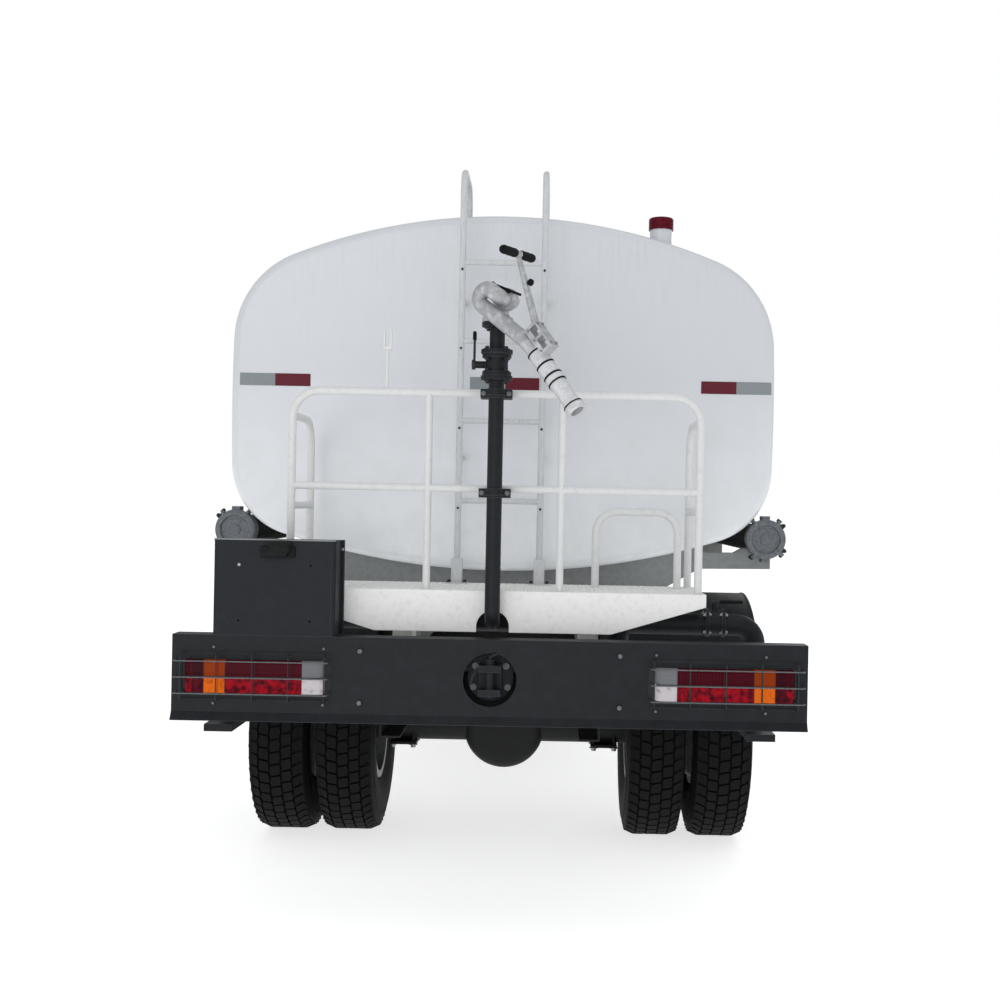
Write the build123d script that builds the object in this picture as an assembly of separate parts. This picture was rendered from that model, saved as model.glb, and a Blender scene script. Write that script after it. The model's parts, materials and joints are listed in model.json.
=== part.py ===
from build123d import *
from math import cos, radians, sin, sqrt
import os

os.makedirs("parts", exist_ok=True)

# Lengths are in millimetres: X to the right, Y forward, Z up from the ground.
# Places along the truck are given as distances ahead of the rear bumper's rear face.
ORIGIN_AHEAD = 3752

# Running clearance between a pin or shaft and its bore
FIT = 0.3

# Axles, tyres and rims
REAR_AXLE = 1740
FRONT_AXLE = 6340
TYRE_R = 530
TYRE_W = 285
BEAD_R = 250
RIM_WALL = 12
RIM_W = 216
RIM_FLANGE_R = 272
DISC_OFFSET = 162.5
DISC_T = 14
REAR_TRACK = 1830
FRONT_TRACK = 2010
KINGPIN_X = 850
STEER_ARM = 230

# Frame rails
RAIL_X = 430
RAIL_FLANGE = 80
RAIL_WALL = 8
RAIL_BOTTOM = 760
RAIL_TOP = 1040
RAIL_START = 70
RAIL_END = 7450

# Tank section and length
TANK_HALF = 1205
TANK_BOTTOM = 1384
TANK_TOP = 2960
TANK_REAR = 750
TANK_FRONT = 5535
TANK_TOP_R = 2500
TANK_BOTTOM_R = 3250
TANK_SIDE_BULGE = 15
TANK_TOP_CORNER = 420
TANK_BOTTOM_CORNER = 330
TANK_RIM_R = 40

# Manhole on the tank's top and breather near its rear end
MANHOLE_AHEAD = 3300
MANHOLE_R = 260
MANHOLE_RISE = 90
LID_R = 285
LID_T = 20
BREATHER_X = 696
BREATHER_AHEAD = 880
BREATHER_R = 50
BREATHER_TOP = TANK_TOP - 30
BEACON_TOP = BREATHER_TOP + 54

# Rear bumper, lamps and tow jaw
BUMPER_HALF = 1224
BUMPER_BOTTOM = 828
BUMPER_TOP = 1157
BUMPER_DEPTH = 90
BUMPER_T = 8
LAMP_X = (635, 1174)
LAMP_Z = (933, 1063)
TOW_Z = 1002
TOW_HOLE_R = 104

# Working platform behind the tank
PLATFORM_HALF = 845
PLATFORM_REAR = 150
PLATFORM_FRONT = 650
PLATFORM_TOP = 1335
PLATFORM_LIP = 50
PLATFORM_T = 6
SKIRT_BOTTOM = 1171
SKIRT_HALF = 470
NOTCH_HALF = 65

# Guard rail round the platform
RAILING_R = 16
RAILING_HALF = 815
RAILING_AHEAD = 190
RAILING_TOP = 2120
RAILING_MID = 1740
RAILING_BEND = 110
RAILING_FRONT = 600

# Standpipe and monitor
PIPE_AHEAD = 92
PIPE_R = 30
PIPE_LOW = 1205
PIPE_TOP = 2390
FLANGE_R = 61
MONITOR_YAW = 59
MONITOR_PITCH = 36
ELEVATION_OUT = 80
ELEVATION_RISE = 77
MONITOR_R = 30
BARREL_SIDE = 105
BARREL_DROP = 68
GOOSE_BACK = 85
NOZZLE_AT = 227
NOZZLE_BEND = 15
NOZZLE_LENGTH = 326
NOZZLE_BORE = 26

# Cab shell
CAB_REAR = 5825
CAB_FRONT = 7640
CAB_HALF = 1180
CAB_BOTTOM = 1240
CAB_TOP = 2860
CAB_WALL = 60
CAB_ROOF_SPLIT = CAB_TOP - 210
CAB_BELT = 1900
DOOR_GAP = 8
DOOR_FRONT = 7330
DOOR_REAR = 6300
DOOR_BOTTOM = 1310
DOOR_TOP = CAB_ROOF_SPLIT - 30
DOOR_KINK = CAB_BELT + (DOOR_TOP - CAB_BELT) * 0.35
HINGE_X = CAB_HALF + 16
HINGE_R = 11
CAB_PIVOT_AHEAD = 7620
CAB_PIVOT_Z = 980

# Front bumper
NOSE = 7750
NOSE_HALF = 1225
NOSE_BOTTOM = 430
NOSE_TOP = 1030
NOSE_WALL = 40
NOSE_REAR = NOSE - 740


def ahead(distance):
    """Y of a place that far ahead of the rear bumper's face."""
    return distance - ORIGIN_AHEAD


def block(x, y, z):
    """Box between the two limits given for each of X, ahead and Z."""
    middle = Pos((x[0] + x[1]) / 2, ahead((y[0] + y[1]) / 2), (z[0] + z[1]) / 2)
    return middle * Box(abs(x[1] - x[0]), abs(y[1] - y[0]), abs(z[1] - z[0]))


def bar_x(radius, x, y, z):
    """Round bar along X between two limits."""
    return Pos((x[0] + x[1]) / 2, ahead(y), z) * Rot(0, 90, 0) * Cylinder(radius, abs(x[1] - x[0]))


def bar_y(radius, x, y, z):
    """Round bar along the truck between two limits."""
    return Pos(x, ahead((y[0] + y[1]) / 2), z) * Rot(90, 0, 0) * Cylinder(radius, abs(y[1] - y[0]))


def bar_z(radius, x, y, z):
    """Upright round bar between two heights."""
    return Pos(x, ahead(y), (z[0] + z[1]) / 2) * Cylinder(radius, abs(z[1] - z[0]))


def pipe(points, radius, bend):
    """Round pipe through points given as X, ahead and Z, with bends of one radius."""
    places = [(x, ahead(y), z) for x, y, z in points]
    path = Line(*places) if len(places) == 2 else FilletPolyline(*places, radius=bend)
    return sweep(Plane(origin=path @ 0, z_dir=path % 0) * Circle(radius), path=path)


def outline(*points):
    """Flat face inside a closed line through the points."""
    return make_face(Polyline(*points, close=True))


def along_x(sketch, x):
    """Solid drawn in ahead and Z, and pulled along X between two limits."""
    return Pos(0, -ORIGIN_AHEAD, 0) * extrude(Plane.YZ.offset(min(x)) * sketch, amount=abs(x[1] - x[0]))


def along_y(sketch, y):
    """Solid drawn in X and Z, and pulled along the truck between two limits."""
    return extrude(Plane.XZ.offset(-ahead(max(y))) * sketch, amount=abs(y[1] - y[0]))


def along_z(sketch, z):
    """Solid drawn in X and ahead, and pulled up between two limits."""
    return Pos(0, -ORIGIN_AHEAD, 0) * extrude(Plane.XY.offset(min(z)) * sketch, amount=abs(z[1] - z[0]))


def spun(sketch, x, y, z):
    """Solid of revolution about an axis along X, drawn in X and radius."""
    return Pos(x, ahead(y), z) * revolve(sketch, axis=Axis.X)


def pair(shape):
    """A piece and its twin on the other side of the truck."""
    return [shape, mirror(shape, about=Plane.YZ)]


def joined(shapes):
    """All the given shapes as one."""
    whole = shapes[0]
    for shape in shapes[1:]:
        whole = whole + shape
    return whole


def save(name, *shapes):
    """Write one named part file with every solid of the given shapes."""
    solids = []
    for shape in shapes:
        solids.extend(shape.solids())
    export_step(Compound(children=solids), f"parts/{name}.step")


# Frame rails, as channels open to the inside
def frame_rail():
    rail_y = (RAIL_START, RAIL_END)
    outer = block((RAIL_X - RAIL_FLANGE, RAIL_X), rail_y, (RAIL_BOTTOM, RAIL_TOP))
    inside_x = (RAIL_X - RAIL_FLANGE - 1, RAIL_X - RAIL_WALL)
    return outer - block(inside_x, rail_y, (RAIL_BOTTOM + RAIL_WALL, RAIL_TOP - RAIL_WALL))


save("chassis_rails", *pair(frame_rail()))

CROSS_MEMBERS = [
    dict(at=160, low=860, high=1020),
    dict(at=900, low=880, high=1020),
    dict(at=1740, low=880, high=1020),
    dict(at=2600, low=880, high=1020),
    dict(at=3450, low=880, high=1020),
    dict(at=4300, low=880, high=1020),
    dict(at=7340, low=780, high=900),
]
web = RAIL_X - RAIL_WALL
members = []
for row in CROSS_MEMBERS:
    members.append(block((-web, web), (row["at"] - 50, row["at"] + 50), (row["low"], row["high"])))


# Wheels: rim and disc drawn in X from the tyre's middle and radius, the disc on the outer side
def rim_profile():
    half = RIM_W / 2
    inner = BEAD_R - RIM_WALL
    barrel = Pos(0, BEAD_R - RIM_WALL / 2) * Rectangle(RIM_W, RIM_WALL)
    edge = Pos(half + 5, (inner + RIM_FLANGE_R) / 2) * Rectangle(10, RIM_FLANGE_R - inner)
    other = Pos(-half - 5, (inner + RIM_FLANGE_R) / 2) * Rectangle(10, RIM_FLANGE_R - inner)
    disc = outline(
        (DISC_OFFSET, 85),
        (DISC_OFFSET, 205),
        (half, BEAD_R - 5),
        (half - 20, inner + 2),
        (DISC_OFFSET - DISC_T, 192),
        (DISC_OFFSET - DISC_T, 85),
    )
    return barrel + edge + other + disc


def hand_holes(x, y):
    """Eight round holes through the wheel discs."""
    holes = []
    for step in range(8):
        turn = radians(45 * step + 22.5)
        holes.append(bar_x(27, x, y + 158 * cos(turn), TYRE_R + 158 * sin(turn)))
    return holes


def tyre_profile():
    half = TYRE_W / 2
    tread = half - 36
    side = ThreePointArc((107, 276), (half, 395), (half - 12, TYRE_R - 28))
    other = ThreePointArc((12 - half, TYRE_R - 28), (-half, 395), (-107, 276))
    crown = Polyline((half - 12, TYRE_R - 28), (tread, TYRE_R), (-tread, TYRE_R), (12 - half, TYRE_R - 28))
    bead = Polyline((-107, 276), (-107, BEAD_R + FIT), (107, BEAD_R + FIT), (107, 276))
    return make_face(side + crown + other + bead)


twin = [REAR_TRACK / 2 - DISC_OFFSET, REAR_TRACK / 2 + DISC_OFFSET]
middle = REAR_TRACK / 2
outer_rim = spun(mirror(rim_profile(), about=Plane.YZ), twin[1], REAR_AXLE, TYRE_R)
inner_rim = spun(rim_profile(), twin[0], REAR_AXLE, TYRE_R)
rear_hub = joined([
    bar_x(112, (790, 1010), REAR_AXLE, TYRE_R),
    bar_x(78, (1010, 1062), REAR_AXLE, TYRE_R),
    bar_x(205, (690, 880), REAR_AXLE, TYRE_R) - bar_x(188, (680, 868), REAR_AXLE, TYRE_R),
])
rear_wheel = joined([outer_rim, inner_rim, rear_hub]) - bar_x(60 + FIT, (600, 1000), REAR_AXLE, TYRE_R)
for hole in hand_holes((middle - DISC_T - 5, middle + DISC_T + 5), REAR_AXLE):
    rear_wheel = rear_wheel - hole
rear_tyres = [spun(tyre_profile(), x, REAR_AXLE, TYRE_R) for x in twin]
rear_tyres_left = [mirror(tyre, about=Plane.YZ) for tyre in rear_tyres]
save("rear_wheels_right", rear_wheel)
save("rear_wheels_left", mirror(rear_wheel, about=Plane.YZ))
save("rear_tyres_right", *rear_tyres)
save("rear_tyres_left", *rear_tyres_left)

front_x = FRONT_TRACK / 2
front_disc = front_x + DISC_OFFSET
front_hub = joined([
    bar_x(100, (980, front_disc + 18), FRONT_AXLE, TYRE_R),
    bar_x(70, (front_disc + 18, front_disc + 48), FRONT_AXLE, TYRE_R),
    bar_x(205, (905, 1010), FRONT_AXLE, TYRE_R) - bar_x(188, (900, 998), FRONT_AXLE, TYRE_R),
])
front_rim = spun(rim_profile(), front_x, FRONT_AXLE, TYRE_R)
front_wheel = joined([front_rim, front_hub]) - bar_x(40 + FIT, (900, 1140), FRONT_AXLE, TYRE_R)
for hole in hand_holes((front_disc - DISC_T - 5, front_disc + 5), FRONT_AXLE):
    front_wheel = front_wheel - hole
front_tyre = spun(tyre_profile(), front_x, FRONT_AXLE, TYRE_R)
save("front_wheel_right", front_wheel)
save("front_wheel_left", mirror(front_wheel, about=Plane.YZ))
save("front_tyre_right", front_tyre)
save("front_tyre_left", mirror(front_tyre, about=Plane.YZ))


# Leaf springs: leaves stacked with the longest on top, and hangers up to the frame
def leaf_spring(x, y, z, half_length, leaf, hanger_x, hanger_top):
    width = 80
    pieces = []
    for row in range(4):
        reach = half_length * (row + 2) / 5
        low = z + row * leaf
        pieces.append(block((x - width / 2, x + width / 2), (y - reach, y + reach), (low, low + leaf)))
    top = z + 4 * leaf
    for end in (-1, 1):
        place = y + end * (half_length - 35)
        pieces.append(block(hanger_x, (place - 30, place + 30), (top, hanger_top)))
    return joined(pieces)


axle_tube = bar_x(74, (-700, 700), REAR_AXLE, TYRE_R)
spindles = bar_x(60, (-985, 985), REAR_AXLE, TYRE_R)
carrier = bar_y(205, 0, (REAR_AXLE - 95, REAR_AXLE + 110), TYRE_R)
carrier = fillet(carrier.edges().filter_by(GeomType.CIRCLE).sort_by(Axis.Y)[0], 60)
pinion = bar_y(80, 0, (REAR_AXLE + 110, REAR_AXLE + 330), TYRE_R)
rear_parts = [axle_tube, spindles, carrier, pinion]
for side in (-1, 1):
    rear_parts.append(block((side * 515 - 55, side * 515 + 55), (REAR_AXLE - 80, REAR_AXLE + 80), (540, 604)))
    hanger = (side * RAIL_X, side * 555)
    rear_parts.append(leaf_spring(side * 515, REAR_AXLE, 604, 760, 24, hanger, 860))
save("rear_axle", joined(rear_parts))

beam_half = outline((0, 390), (600, 390), (KINGPIN_X - 25, 485), (KINGPIN_X - 25, 575), (560, 480), (0, 480))
beam = along_y(beam_half, (FRONT_AXLE - 45, FRONT_AXLE + 45))
front_parts = pair(beam)
for side in (-1, 1):
    front_parts.append(bar_z(50, side * KINGPIN_X, FRONT_AXLE, (470, 590)))
    front_parts.append(leaf_spring(side * 430, FRONT_AXLE, 480, 740, 24, (side * 390, side * 470), RAIL_BOTTOM))
front_axle = joined(front_parts)
for side in (-1, 1):
    front_axle = front_axle - bar_z(22 + FIT, side * KINGPIN_X, FRONT_AXLE, (460, 600))
save("front_axle", front_axle)

# Steering knuckle with king pin, stub axle and track-rod arm
knuckle = joined([
    block((KINGPIN_X, KINGPIN_X + 90), (FRONT_AXLE - 50, FRONT_AXLE + 50), (590 + FIT, 625)),
    block((KINGPIN_X, KINGPIN_X + 90), (FRONT_AXLE - 50, FRONT_AXLE + 50), (435, 470 - FIT)),
    bar_z(50, KINGPIN_X, FRONT_AXLE, (590 + FIT, 625)),
    bar_z(50, KINGPIN_X, FRONT_AXLE, (435, 470 - FIT)),
    block((KINGPIN_X + 55, KINGPIN_X + 90), (FRONT_AXLE - 50, FRONT_AXLE + 50), (435, 625)),
    bar_z(22, KINGPIN_X, FRONT_AXLE, (435, 625)),
    bar_x(40, (KINGPIN_X + 80, 1130), FRONT_AXLE, TYRE_R),
    block((KINGPIN_X - 20, KINGPIN_X + 20), (FRONT_AXLE - STEER_ARM - 25, FRONT_AXLE - 20), (447, 469)),
    bar_z(12, KINGPIN_X, FRONT_AXLE - STEER_ARM, (410, 450)),
])
save("knuckle_right", knuckle)
save("knuckle_left", mirror(knuckle, about=Plane.YZ))

tie_parts = [bar_x(13, (-KINGPIN_X + 20, KINGPIN_X - 20), FRONT_AXLE - STEER_ARM, 429)]
for side in (-1, 1):
    tie_parts.append(bar_z(28, side * KINGPIN_X, FRONT_AXLE - STEER_ARM, (414, 447 - FIT)))
tie_rod = joined(tie_parts)
for side in (-1, 1):
    tie_rod = tie_rod - bar_z(12 + FIT, side * KINGPIN_X, FRONT_AXLE - STEER_ARM, (400, 460))
save("tie_rod", tie_rod)

# Engine, gearbox, radiator block and propeller shaft
engine = joined([
    block((-330, 330), (5800, 6980), (640, 1180)),
    block((-200, 200), (4950, 5800), (660, 1010)),
    bar_y(70, 0, (4880, 4950), 800),
    block((-335, 335), (6980, 7150), (700, 1160)),
])
shaft_path = ((0, 4880, 800), (0, REAR_AXLE + 330, TYRE_R))
shaft = pipe([shaft_path[0], shaft_path[1]], 48, 0)
shaft = shaft & block((-100, 100), (REAR_AXLE + 331, 4879), (300, 1000))
shaft = shaft + bar_y(65, 0, (4840, 4880 - FIT), 800)
shaft = shaft + bar_y(65, 0, (REAR_AXLE + 330 + FIT, REAR_AXLE + 375), TYRE_R)
save("drive_train", engine, shaft)

# Side equipment: fuel tank, batteries, air reservoirs and silencer
fuel_y = (4350, 5450)
fuel_face = Pos(-820, 740) * RectangleRounded(640, 520, 90)
fuel = along_y(fuel_face, fuel_y)
for place in (4600, 5200):
    fuel = fuel + along_y(Pos(-820, 740) * RectangleRounded(652, 532, 94), (place - 30, place + 30))
    fuel = fuel + block((-510, -RAIL_X), (place - 30, place + 30), (RAIL_BOTTOM + 20, 960))
fuel = fuel + bar_z(55, -950, 5050, (990, 1035))
save("fuel_tank", fuel)

battery = along_y(Pos(740, 760) * RectangleRounded(520, 380, 25), (4950, 5500))
battery = battery + block((RAIL_X, 490), (5000, 5450), (780, 920))
reservoirs = []
for height in (650, 910):
    reservoirs.append(bar_y(120, 620, (4290, 4860), height))
for place in (4400, 4750):
    reservoirs.append(block((RAIL_X, 640), (place - 25, place + 25), (765, 800)))
    reservoirs.append(block((600, 640), (place - 25, place + 25), (640, 900)))
save("battery_box", battery, joined(reservoirs))

silencer = along_y(Pos(-700, 800) * RectangleRounded(420, 340, 150), (3350, 4050))
silencer = silencer + block((-RAIL_X, -520), (3650, 3750), (800, 900))
silencer = silencer + pipe([(-700, 3400, 800), (-700, 3200, 800), (-1090, 3200, 800)], 45, 100)
silencer = silencer - bar_x(40, (-1100, -900), 3200, 800)
save("silencer", silencer)

GUARD_X = 1190
guard_parts = []
for side in (-1, 1):
    for height in (560, 860):
        guard_parts.append(block((side * (GUARD_X - 30), side * GUARD_X), (2430, 4250), (height - 45, height + 45)))
    for place in (2520, 4160):
        guard_parts.append(block((side * RAIL_X, side * GUARD_X), (place - 30, place + 30), (950, 1010)))
        post_x = (side * (GUARD_X - 90), side * (GUARD_X - 30))
        guard_parts.append(block(post_x, (place - 30, place + 30), (515, 1010)))
save("side_guards", joined(guard_parts[:6]), joined(guard_parts[6:]))


# Mudguards: arched sheets with stays to the frame
def mudguard(centre, inside, cut_z, x, stay_x):
    ring = Pos(centre, TYRE_R) * (Circle(inside + 12) - Circle(inside))
    arch = along_x(ring, x) & block(x, (centre - 2000, centre + 2000), (cut_z, 3000))
    pieces = [arch]
    for turn in (38, 142):
        reach = inside + 12 + 18
        place = centre + reach * cos(radians(turn))
        height = TYRE_R + reach * sin(radians(turn))
        pieces.append(bar_x(20, (stay_x, x[1] - 40), place, height))
    return joined(pieces)


rear_guard = mudguard(REAR_AXLE, 700, 820, (600, 1225), RAIL_X)
front_guard = mudguard(FRONT_AXLE, 636, 760, (850, 1185), RAIL_X)
save("mudguards", *pair(rear_guard), *pair(front_guard))


# Tank: four wide arcs with rounded corners, ends with a rolled rim
def tank_section():
    edge = TANK_HALF - TANK_SIDE_BULGE
    top_z = TANK_TOP - (TANK_TOP_R - sqrt(TANK_TOP_R**2 - edge**2))
    low_z = TANK_BOTTOM + (TANK_BOTTOM_R - sqrt(TANK_BOTTOM_R**2 - edge**2))
    mid_z = (top_z + low_z) / 2
    top = ThreePointArc((-edge, top_z), (0, TANK_TOP), (edge, top_z))
    right = ThreePointArc((edge, top_z), (TANK_HALF, mid_z), (edge, low_z))
    bottom = ThreePointArc((edge, low_z), (0, TANK_BOTTOM), (-edge, low_z))
    left = ThreePointArc((-edge, low_z), (-TANK_HALF, mid_z), (-edge, top_z))
    face = make_face(top + right + bottom + left)
    corners = face.vertices().sort_by(Axis.Y)
    face = fillet(corners[2:], TANK_TOP_CORNER)
    corners = face.vertices().sort_by(Axis.Y)
    low_corners = [corner for corner in corners if abs(corner.Y - low_z) < 1]
    return fillet(low_corners, TANK_BOTTOM_CORNER)


shell = along_y(tank_section(), (TANK_REAR, TANK_FRONT))
rims = shell.faces().sort_by(Axis.Y)[0].edges() + shell.faces().sort_by(Axis.Y)[-1].edges()
tank_body = fillet(rims, TANK_RIM_R)

# Manhole neck with hinge ears, and breather post
neck_top = TANK_TOP + MANHOLE_RISE
hinge_y = MANHOLE_AHEAD + LID_R + 45
tank = tank_body + bar_z(MANHOLE_R, 0, MANHOLE_AHEAD, (TANK_TOP - 60, neck_top))
for side in (-1, 1):
    tank = tank + block((side * 62, side * 78), (MANHOLE_AHEAD + 200, hinge_y + 16), (TANK_TOP - 30, neck_top - 6))
    tank = tank + block((side * 62, side * 78), (hinge_y - 18, hinge_y + 16), (neck_top - 8, neck_top + 24))
tank = tank + bar_x(8, (-70, 70), hinge_y, neck_top + 10)
tank = tank + bar_z(BREATHER_R, BREATHER_X, BREATHER_AHEAD, (TANK_TOP - 200, BREATHER_TOP))
save("tank", tank)

lid = bar_z(LID_R, 0, MANHOLE_AHEAD, (neck_top + FIT, neck_top + LID_T))
lid = fillet(lid.edges().sort_by(Axis.Z)[-1], 8)
lid = lid + block((-55, 55), (MANHOLE_AHEAD + 150, hinge_y), (neck_top + 6, neck_top + 16))
lid = lid + bar_x(16, (-55, 55), hinge_y, neck_top + 10)
lid = lid - bar_x(8 + FIT, (-80, 80), hinge_y, neck_top + 10)
lid = lid + pipe(
    [(-60, MANHOLE_AHEAD - 120, neck_top + 15), (-60, MANHOLE_AHEAD - 120, neck_top + 70),
     (60, MANHOLE_AHEAD - 120, neck_top + 70), (60, MANHOLE_AHEAD - 120, neck_top + 15)], 9, 20)
save("manhole_lid", lid)

save("beacon", fillet(
    bar_z(BREATHER_R + 6, BREATHER_X, BREATHER_AHEAD, (BREATHER_TOP, BEACON_TOP)).edges().sort_by(Axis.Z)[-1], 10))

# Sub-frame and saddles under the tank, with brackets for the hoses
HOSE_X = 1180
HOSE_Z = 1545
HOSE_R = 65
COUPLING_R = 82
CAP_R = 88
HOSE_REAR = 900
HOSE_FRONT = 5300
SADDLES = [
    dict(at=950, thick=70),
    dict(at=2620, thick=70),
    dict(at=3900, thick=70),
    dict(at=5250, thick=70),
]
saddle_face = outline(
    (-RAIL_X, RAIL_TOP + 90), (-880, 1390), (-880, 1560), (880, 1560), (880, 1390), (RAIL_X, RAIL_TOP + 90))
cradle_parts = []
for side in (-1, 1):
    beam_x = (side * (RAIL_X - RAIL_FLANGE), side * RAIL_X)
    cradle_parts.append(block(beam_x, (780, 5450), (RAIL_TOP, RAIL_TOP + 100)))
for row in SADDLES:
    limits = (row["at"] - row["thick"] / 2, row["at"] + row["thick"] / 2)
    cradle_parts.append(along_y(saddle_face, limits))
    for side in (-1, 1):
        arm = outline((side * 700, 1400), (side * 1223, 1407), (side * 1223, 1500), (side * 1100, 1500),
                      (side * 1060, 1477), (side * 700, 1477))
        cradle_parts.append(along_y(arm, limits))
hose_bed = [bar_y(COUPLING_R, side * HOSE_X, (700, HOSE_REAR + 20), HOSE_Z) for side in (-1, 1)]
hose_bed += [bar_y(HOSE_R, side * HOSE_X, (HOSE_REAR, HOSE_FRONT + 60), HOSE_Z) for side in (-1, 1)]
cradle = joined(cradle_parts) - tank_body
for bed in hose_bed:
    cradle = cradle - bed
save("tank_cradle", cradle)

save("suction_hoses", *[bar_y(HOSE_R, side * HOSE_X, (HOSE_REAR, HOSE_FRONT), HOSE_Z) for side in (-1, 1)])


def hose_end(x, face, inward):
    """Coupling with cap and two clamp lugs, inward telling which way the hose lies."""
    body = bar_y(COUPLING_R - 4, x, (face + inward * 22, face + inward * 120), HOSE_Z)
    cap = bar_y(CAP_R, x, (face, face + inward * 26), HOSE_Z)
    lugs = []
    for turn in (90, 270):
        place = Pos(x, ahead(face + inward * 40), HOSE_Z) * Rot(0, turn, 0) * Pos(CAP_R, 0, 0)
        lugs.append(place * Box(30, 76, 34))
    ring = bar_y(COUPLING_R + 2, x, (face + inward * 44, face + inward * 66), HOSE_Z)
    return joined([body, cap, ring] + lugs)


couplings = []
for side in (-1, 1):
    couplings.append(hose_end(side * HOSE_X, HOSE_REAR - 120, 1))
    couplings.append(hose_end(side * HOSE_X, HOSE_FRONT + 120, -1))
save("hose_couplings", *couplings)

# Rear bumper: a folded channel with a lip that slopes out at its foot
lip = BUMPER_BOTTOM + 34
bumper_face = outline(
    (BUMPER_DEPTH, BUMPER_TOP), (0, BUMPER_TOP), (0, lip), (-20, BUMPER_BOTTOM), (BUMPER_DEPTH - 20, BUMPER_BOTTOM),
    (BUMPER_DEPTH - 20, BUMPER_BOTTOM + BUMPER_T), (-6, BUMPER_BOTTOM + BUMPER_T), (BUMPER_T, lip + 2),
    (BUMPER_T, BUMPER_TOP - BUMPER_T), (BUMPER_DEPTH, BUMPER_TOP - BUMPER_T))
bumper = along_x(bumper_face, (-BUMPER_HALF, BUMPER_HALF))
lamp_mid = (LAMP_X[0] + LAMP_X[1]) / 2
lamp_wide = LAMP_X[1] - LAMP_X[0]
lamp_high = LAMP_Z[1] - LAMP_Z[0]
lamp_z = (LAMP_Z[0] + LAMP_Z[1]) / 2
for side in (-1, 1):
    slot = Pos(side * (lamp_mid - 8), lamp_z) * RectangleRounded(lamp_wide + 40, lamp_high + 16, 38)
    bumper = bumper - along_y(slot, (-5, BUMPER_T + 5))
bumper = bumper - bar_y(TOW_HOLE_R, 0, (-5, 30), TOW_Z)
save("rear_bumper", bumper)

# Tail lamps with a flange behind the bumper's face
lamps = []
for side in (-1, 1):
    face = Pos(side * lamp_mid, lamp_z) * RectangleRounded(lamp_wide, lamp_high, 30)
    lens = along_y(face, (-16, BUMPER_T + 50))
    lens = fillet(lens.edges().group_by(Axis.Y)[0], 12)
    flange = Pos(side * (lamp_mid - 8), lamp_z) * RectangleRounded(lamp_wide + 62, lamp_high + 40, 30)
    lamps.append(lens + along_y(flange, (BUMPER_T, BUMPER_T + 8)))
save("tail_lamps", *lamps)

# Wire guards that stand off in front of the lamps
guards = []
for side in (-1, 1):
    wires = []
    for step in range(5):
        x = side * (LAMP_X[0] - 5 + step * (lamp_wide + 10) / 4)
        wires.append(pipe([(x, 0, LAMP_Z[1] + 22), (x, -50, LAMP_Z[1] + 10), (x, -50, LAMP_Z[0] - 10),
                           (x, 0, LAMP_Z[0] - 22)], 4, 14))
    for height in (LAMP_Z[0] + 6, lamp_z, LAMP_Z[1] - 6):
        wires.append(bar_x(4, (side * (LAMP_X[0] - 12), side * (LAMP_X[1] + 12)), -50, height))
    guards.append(joined(wires) & block((-1300, 1300), (-100, 0), (800, 1200)))
save("lamp_guards", *guards)

# Tow jaw in the bumper's round hole, fixed to the rear cross member
jaw = joined([
    bar_y(88, 0, (60, 110), TOW_Z),
    block((-42, 42), (-40, 70), (TOW_Z + 34, TOW_Z + 58)),
    block((-42, 42), (-40, 70), (TOW_Z - 58, TOW_Z - 34)),
    block((-42, 42), (30, 70), (TOW_Z - 58, TOW_Z + 58)),
    bar_z(17, 0, -5, (TOW_Z - 66, TOW_Z + 78)),
])
save("tow_jaw", jaw)

# Equipment box that carries the number plate
box = block((-1070, -600), (0, 142), (BUMPER_TOP, 1526))
box = fillet(box.edges().filter_by(Axis.Z), 12)
box = box + block((-600, -588), (120, 142), (BUMPER_TOP, 1526))
for x in (-972, -697):
    for z in (1213, 1428):
        box = box - bar_y(4.2, x, (-5, 40), z)
box = box + along_x(Pos(-24, 1478) * RectangleRounded(52, 34, 14), (-885, -785))
save("equipment_box", box)

# Platform: folded plate with lips, skirt with a notch for the pipe, and two legs on the frame
plate_y = (PLATFORM_REAR, PLATFORM_FRONT)
plate = block((-PLATFORM_HALF, PLATFORM_HALF), plate_y, (PLATFORM_TOP - PLATFORM_LIP, PLATFORM_TOP))
under_y = (PLATFORM_REAR + PLATFORM_T, PLATFORM_FRONT - PLATFORM_T)
plate = plate - block((PLATFORM_T - PLATFORM_HALF, PLATFORM_HALF - PLATFORM_T), under_y,
                      (PLATFORM_TOP - PLATFORM_LIP - 1, PLATFORM_TOP - PLATFORM_T))
skirt_top = PLATFORM_TOP - PLATFORM_LIP
skirt_face = outline((-PLATFORM_HALF, skirt_top + 10), (PLATFORM_HALF, skirt_top + 10), (PLATFORM_HALF, skirt_top),
                     (SKIRT_HALF, SKIRT_BOTTOM), (-SKIRT_HALF, SKIRT_BOTTOM), (-PLATFORM_HALF, skirt_top))
skirt_face = skirt_face - Pos(0, SKIRT_BOTTOM) * RectangleRounded(2 * NOTCH_HALF, 170, NOTCH_HALF - 1)
platform = plate + along_y(skirt_face, (PLATFORM_REAR, PLATFORM_REAR + PLATFORM_T))
for side in (-1, 1):
    leg_x = (side * (RAIL_X - RAIL_FLANGE), side * RAIL_X)
    platform = platform + block(leg_x, (440, 620), (RAIL_TOP, PLATFORM_TOP - 3))
save("platform", platform)

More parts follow.
